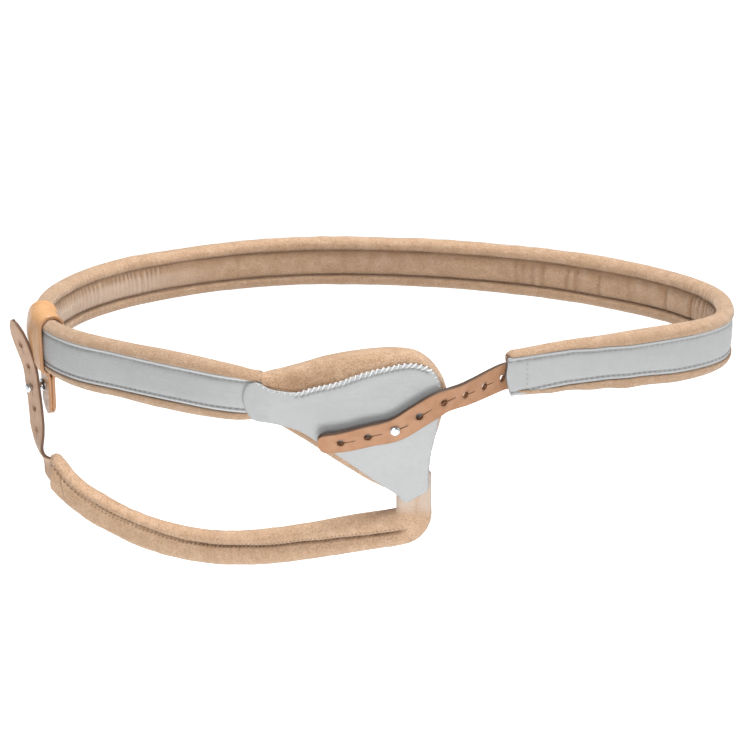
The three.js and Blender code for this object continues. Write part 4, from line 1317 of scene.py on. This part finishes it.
loop = {
    "place": 0.809,  # share of the belt's length, from its free end
    "width": 24.0, "leather": 2.0, "bulge": 2.0,
    "tongueLength": 28.0, "tongueThick": 3.6, "tongueWidth": 18.0,
    "forward": 2.0,  # the part round the belt sits this far towards the pad
    "twist": 8,  # degrees that the tongue turns from the belt's direction
    "studDrop": 12.5, "studReach": 6.4, "studPlay": 1.5,
    "studLean": (0.1, -0.45, 0.0),
}
loopHigh, loopThick, _ = (float(v) for v in beltSizes(loop["place"]))
loopPoint, loopAlong, loopOut = beltFrames(loop["place"])
tongueTip = -loopHigh - loop["tongueLength"]
loopTwist = math.radians(loop["twist"])
tongueOut = loopOut * math.cos(loopTwist) + loopAlong * math.sin(loopTwist)
tongueAlong = loopAlong * math.cos(loopTwist) - loopOut * math.sin(loopTwist)


def loopPath():
    # one strip of leather: up from the tongue's front layer, round the belt, down to its back
    # layer. Outward and up, from the belt's middle.
    middle = wideClearance + loop["leather"] / 2
    t, h = loopThick * 1.02 + middle, loopHigh + middle
    corner = belt["roll"] / 2 + middle
    layer = loop["tongueThick"] / 4 + 0.04

    def bend(degrees, upward):
        a = math.radians(degrees)
        return t - corner + corner * math.cos(a), upward * (h - corner) + corner * math.sin(a)

    half = [(layer, tongueTip), (layer, tongueTip + 8), (layer, -h - 8), (layer + 0.1, -h - 4.5),
            (layer + 1.0, -h - 1.5)]
    half += [bend(degrees, -1) for degrees in range(-70, 1, 14)] + [(t, 0)]
    half += [bend(degrees, 1) for degrees in range(0, 91, 15)]
    half = np.array(half)
    whole = np.vstack([half, (half * (-1, 1))[::-1][1:]])
    return resample(spline(whole, steps=12), 300), h


def makeSliderLoop():
    line, h = loopPath()
    ahead = unit(np.gradient(line, axis=0))
    normal = np.stack([ahead[:, 1], -ahead[:, 0]], -1)
    normal *= np.sign((normal[:, 0] * line[:, 0]).sum())
    fromTip = line[:, 1] - tongueTip
    inTongue = smooth((-h + 3 - line[:, 1]) / 8)
    halfWidth = mix(loop["width"] / 2, loop["tongueWidth"] / 2, inTongue)
    taper = mix(1.0, 0.90, smooth((loop["tongueLength"] * 0.7 - fromTip) / 14))
    tip = np.clip(fromTip / 8.5, 0, 1)
    halfWidth = halfWidth * taper * np.maximum(0.16, (1 - (1 - tip) ** 2.2) ** 0.5)
    leather = loop["leather"] * mix(1.0, 0.88, inTongue) * mix(0.6, 1.0, smooth(fromTip / 6))
    rows, edges = [], []
    for (u, v), n, w, thick in zip(line, normal, halfWidth, leather):
        stiff = float(smooth((-h + 6 - v) / 10))  # 1 in the flat tongue, 0 round the belt
        section = strapSection(2 * w, thick, 60, 0.5)
        edges.append(ridge(np.abs(section[:, 1]) - w, 0.6))
        across = section[:, 1] * mix(1.2, 1.0, stiff) + loop["forward"] * (1 - stiff)
        outward, high = u + n[0] * section[:, 0], v + n[1] * section[:, 0]
        wave = 0.10 * patches(across * 1.2, high, 11, 71)
        wave = wave + loop["bulge"] * ridge(v - 3, 8) * (u > 0) * (1 - smooth(across / 12))
        bent = onBelt(loop["place"] + across / beltLine.length, outward + wave, high)
        flat = (loopPoint + tongueAlong * across[:, None] + tongueOut * outward[:, None]
                + up * high[:, None])
        rows.append(mix(bent, flat, stiff))
    marks = {"edge": np.stack(edges).ravel()}
    piece = gridPiece("sliderLoop", np.stack(rows), loopLeather, marks)
    fixNormals(piece)
    place(piece, "loop_leather", "slider_loop")


sideStudBase = (loopPoint + loopOut * (loop["tongueThick"] / 2)
                - up * (loopHigh + loop["studDrop"]))
sideCrossing = sideStudBase + loopOut * loop["studReach"]
studAxis = unit(loopOut + np.array(loop["studLean"]))
makeSliderLoop()
makeStud("sliderStud", sideCrossing - studAxis * loop["studReach"], studAxis, loop["studReach"],
         loop["studPlay"], "slider_stud")
print("loop and its stud made")

# Padded thigh strap and the pale strap that holds it

thighLook = {
    "width": 12.5, "thickness": 2.0, "inTube": 10.0,
    "pitch": 12.2, "hole": 1.6, "slit": 0.5, "slitLength": 3.6,
    "tip": 13.0, "blunt": 1.7,
    "seed": 81,
}
tube = {
    "width": 17.5, "thickness": 9.5, "step": 0.6, "around": 120,
    "seam": 2.4,  # its depth, in a wider valley
    "valley": 0.9,
    "sag": 30.5,  # lowest stretch below a straight line
    "turn": 10.2,  # the bend up to the neck, and the angle at which the tube comes to it
    "rise": 23.0,
    "seamStitch": 2.4,
}
# in steps from hole to hole, from the stud's hole
thighTipPath = [(-0.72, 0.05, 3.1), (-0.34, 0.05, 1.9), (-0.08, 0.02, 0.9), (0, 0, 0),
                (0.07, 0, -1.2), (0.1, -0.05, -2.1), (0.19, -0.18, -2.95)]
tubeMouth = np.array((0.8, -0.5, -3.78)) * thighLook["pitch"] + sideCrossing
neckFoot = padPoints(neck["across"] * pad["length"], neckFootHigh * pad["height"],
                     float(padBack(neck["across"])) + clearance + tube["thickness"] / 2)
neckTopPoint = neckFoot + up * neck["high"]
chordAlong = unit((neckFoot - tubeMouth) * (1, 1, 0))
chordSide = unit(np.cross(chordAlong, up))
riseAngle = math.radians(tube["rise"])


def onTurn(angle):
    # the bend from the hanging stretch up to the neck
    return (neckFoot - chordAlong * tube["turn"] * (1 - math.sin(angle))
            - up * tube["turn"] * math.cos(angle))


# shares of the way from the strap to the turn, and of the sag
tubeHang = [(0, 0), (0.035, 0.25), (0.1, 0.54), (0.19, 0.8), (0.32, 0.98), (0.45, 1), (0.6, 0.84),
            (0.75, 0.55), (0.9, 0.22)]
turnStart = onTurn(riseAngle)
tubeLine = Line(
    [mix(tubeMouth, turnStart, along) - up * low * tube["sag"] for along, low in tubeHang]
    + [onTurn(mix(riseAngle, math.pi / 2, share)) for share in (0, 0.25, 0.5, 0.75)]
    + [neckFoot, mix(neckFoot, neckTopPoint, 0.5), neckTopPoint])
neckAt = tubeLine.nearest(neckFoot)
tubeFaces = [faceAt(0, chordSide), faceAt(neckAt * 0.82, chordSide), faceAt(neckAt, front)]
# how many times wider than its plain section the tube is, and how far it stands to one side
tubeSwell = [
    {"at": 0, "wide": 0.96, "shift": 0.0}, {"at": 0.06, "wide": 0.97, "shift": 0.0},
    {"at": 0.16, "wide": 1.06, "shift": 0.7}, {"at": 0.3, "wide": 1.08, "shift": 0.0},
    {"at": 0.5, "wide": 1.10, "shift": -0.7}, {"at": 0.75, "wide": 1.12, "shift": -1.0},
    {"at": 0.86, "wide": 1.12, "shift": -1.2}, {"at": 0.93, "wide": 1.0, "shift": 0.0},
]
# where the butt seam lies across the tube's face, as a share of its half width
tubeSeam = [{"at": 0, "high": 0.5}, {"at": 0.2, "high": 0.5}, {"at": 0.45, "high": 0.26},
            {"at": 0.62, "high": 0.1}, {"at": 0.8, "high": -0.1}, {"at": 1, "high": 0}]


def tubeRing():
    # a rounded section: out of its face and across it
    w, t = tube["width"] / 2, tube["thickness"] / 2
    corner = t * 0.86
    angles = np.radians(np.linspace(0, 180, 40))
    cap = np.stack([np.cos(angles) * t, w - corner + corner * np.sin(angles)], -1)
    return resample(np.vstack([cap, (cap * (1, -1))[::-1]]), tube["around"], closed=True)


def makeThighTube():
    length = tubeLine.length
    w, t = tube["width"] / 2, tube["thickness"] / 2
    at = stationsAlong(length, tube["step"], [(0, 0.03, 0.5)])
    _, _, face, side = turned(tubeLine, tubeFaces, at)
    far = (at * length)[:, None]
    rings = np.stack([tubeRing()] * len(at))
    out, high = rings[..., 0], rings[..., 1]

    # the sewn stretch fades out before the turn and is shallower at the left end
    seamHigh = column(tubeSeam, "high", at)[:, None] * w + 0.35 * wobble(far, 14, 91)
    ends = smooth((neckAt - 0.03 - at) / 0.03)[:, None]
    taut = mix(0.45, 1.0, smooth((at - 0.12) / 0.35))[:, None]
    frontSide = smooth(out / (t * 0.5))
    fromSeam = high - seamHigh
    seamLine = frontSide * ridge(fromSeam, 0.55)
    valley = frontSide * ridge(fromSeam, 2.1)
    lobes = frontSide * ridge(np.abs(fromSeam) - 4.6, 2.6)
    sewn = valley * tube["valley"] + seamLine * (tube["seam"] - tube["valley"])
    out = out - sewn * ends * taut + 0.45 * lobes * ends
    lumps = 0.30 * patches(far, high + out, 15, 92) + 0.14 * patches(far, high - out, 5, 93)
    out = out + lumps * np.sign(out)
    high = high + 0.5 * lumps * smooth((np.abs(high) - 4) / 3) * np.sign(high)
    out = out + 0.16 * np.sin(far * 2 * math.pi / 3.2 + high) * valley * ends

    # the neck is a softer, flatter fold than the padded stretch
    inNeck = smooth((at - neckAt * 0.985) / 0.03)[:, None]
    out = out * mix(1.0, 0.92, inNeck) - inNeck * 0.5 * frontSide * ridge(high + 1.5, 1.3)
    high = high * column(tubeSwell, "wide", at)[:, None] + column(tubeSwell, "shift", at)[:, None]

    # the left end is cut askew: its upper corner runs on over the strap
    slide = -(0.6 + 6.8 * high / w) * (1 - smooth(far / 18))
    point = tubeLine.point(at[:, None] + slide / length)
    draw = 0.62 + 0.38 * roundOff(np.minimum(far, length - far) / 2.6)
    grid = (point + face[:, None] * (out * draw)[..., None]
            + side[:, None] * (high * draw)[..., None])

    fromSeam = high - seamHigh
    holes = ridge(np.abs(fromSeam) - 0.8, 0.35) * frontSide * ends
    holes = holes * smooth(np.sin(far * 2 * math.pi / tube["seamStitch"]))
    seam = seamLine * ends * taut * (0.75 + 0.25 * wobble(far, 1.6, 94))
    mitre = ridge((far - 6.5) + fromSeam * 0.9, 0.5) * frontSide * (fromSeam < 0)
    seam = np.maximum(0.9 * holes + np.clip(seam, 0, 1), mitre * 0.5)
    pale = inNeck * (0.95 - 0.45 * ridge(high + 1.5, 1.2))
    marks = {"seam": np.clip(seam, 0, 1).ravel(), "pale": pale.ravel()}
    piece = gridPiece("thighTube", grid, tubeVelour, marks)
    fixNormals(piece)
    place(piece, "velour", "thigh_tube")


intoTube = [tubeLine.point(share * thighLook["inTube"] / tubeLine.length)
            for share in (0.35, 0.7, 1)]
thighLine = Line([np.array(p) * thighLook["pitch"] + sideCrossing for p in thighTipPath]
                 + [tubeMouth] + intoTube)
sideStudAt = thighLine.nearest(sideCrossing)
mouthAt = thighLine.nearest(tubeMouth)
thighFaces = [
    faceAt(0, (-0.70, -0.71, 0)),
    faceAt(sideStudAt, (-0.74, -0.67, 0)),
    faceAt(mix(sideStudAt, mouthAt, 0.4), (-0.74, -0.67, 0)),
    faceAt(mix(sideStudAt, mouthAt, 0.8), (-0.88, -0.34, -0.32)),
    faceAt(mouthAt, chordSide),
]


def makeThighStrap():
    step = thighLook["pitch"] / thighLine.length
    holes = [sideStudAt + i * step for i in range(-2, 3)]
    strap = holedStrap("thighStrap", thighLine, thighFaces, thighLook, paleLeather, paleCut, holes,
                       lambda at: np.full_like(at, thighLook["width"]))
    place(strap, "pale_leather", "thigh_strap")


makeThighTube()
makeThighStrap()
print("thigh tube and thigh strap made")

# Camera, floor and light

view = {
    "target": (-5.0, -12.0, -26.8), "distance": 1020.0,
    "elevation": 20.5,  # degrees above the level
    "focal": 1867.0, "frame": 750.0,  # pixels
    "sensor": 36.0,
}


def makeCamera():
    tilt = math.radians(view["elevation"])
    data = bpy.data.cameras.new("camera")
    data.sensor_width = view["sensor"]
    data.lens = view["focal"] / view["frame"] * view["sensor"]
    camera = bpy.data.objects.new("camera", data)
    x, y, z = view["target"]
    reach = view["distance"]
    camera.location = (x * mm, (y - reach * math.cos(tilt)) * mm, (z + reach * math.sin(tilt)) * mm)
    camera.rotation_euler = (math.radians(90) - tilt, 0, 0)
    bpy.context.scene.collection.objects.link(camera)
    bpy.context.scene.camera = camera


studio = {
    "floorDrop": 520.0, "floorSize": 40000.0,
    "floor": (0.92, 0.92, 0.92, 1), "floorClouds": (0.9108, 0.9108, 0.9108, 1), "cloudSize": 900,
    "floorGlow": 0.8,
    "sky": [(0.0, 0.95), (0.42, 0.28), (0.58, 0.28), (1.0, 0.34)],  # grey, from below to above
}
lamps = [  # where it is, where it points, its size and its power, metres and watts
    {"name": "overhead", "at": (0.0, 0.12, 1.15), "to": (0, 0, 0), "size": 0.6, "power": 15},
    {"name": "right", "at": (1.2, 0.0, 0.45), "to": (-0.1, 0, 0), "size": 0.5, "power": 5.5},
    {"name": "front", "at": (-0.35, -1.3, 0.20), "to": (0, 0, -0.02), "size": 0.5, "power": 4.6},
    {"name": "low", "at": (0.1, -0.85, -0.42), "to": (0, -0.08, -0.05), "size": 0.5, "power": 4.2},
]


def makeFloor():
    half = studio["floorSize"] / 2
    corners = [(-half, -half), (half, -half), (half, half), (-half, half)]
    points = np.array([(x, y, -studio["floorDrop"]) for x, y in corners])
    finish = Finish("paleFloor", {
        "Roughness": 0.9, "Specular IOR Level": 0.1,
        "Emission Color": (1, 1, 1, 1), "Emission Strength": studio["floorGlow"]})
    colour = finish.blend(finish.noise(studio["cloudSize"], 2, 0.5), studio["floor"],
                          studio["floorClouds"])
    floor = makePiece("floor", points, [[0, 1, 2, 3]], finish.done(Base_Color=colour))
    floor.visible_diffuse = False


def makeSky():
    world = bpy.data.worlds.new("studio")
    bpy.context.scene.world = world
    world.use_nodes = True
    sky = Nodes(world.node_tree)
    where = sky.add("ShaderNodeTexCoord", {}, {}, "Generated")
    upward = sky.add("ShaderNodeSeparateXYZ", {}, {0: where}, "Z")
    stops = [(position, (grey, grey, grey, 1)) for position, grey in studio["sky"]]
    shade = sky.add("ShaderNodeValToRGB", {"stops": stops}, {0: upward * 0.5 + 0.5})
    sky.feed(world.node_tree.nodes["Background"].inputs["Color"], shade)


def makeLights():
    scene = bpy.context.scene
    for lamp in lamps:
        data = bpy.data.lights.new(lamp["name"], "AREA")
        data.shape = "DISK"
        data.size = lamp["size"]
        data.energy = lamp["power"]
        made = bpy.data.objects.new(lamp["name"], data)
        made.location = lamp["at"]
        aim = Vector(lamp["to"]) - Vector(lamp["at"])
        made.rotation_euler = aim.to_track_quat("-Z", "Y").to_euler()
        scene.collection.objects.link(made)
    scene.view_settings.view_transform = "Standard"
    scene.view_settings.exposure = 0.0


makeCamera()
makeFloor()
makeSky()
makeLights()
print("camera, floor and light set")
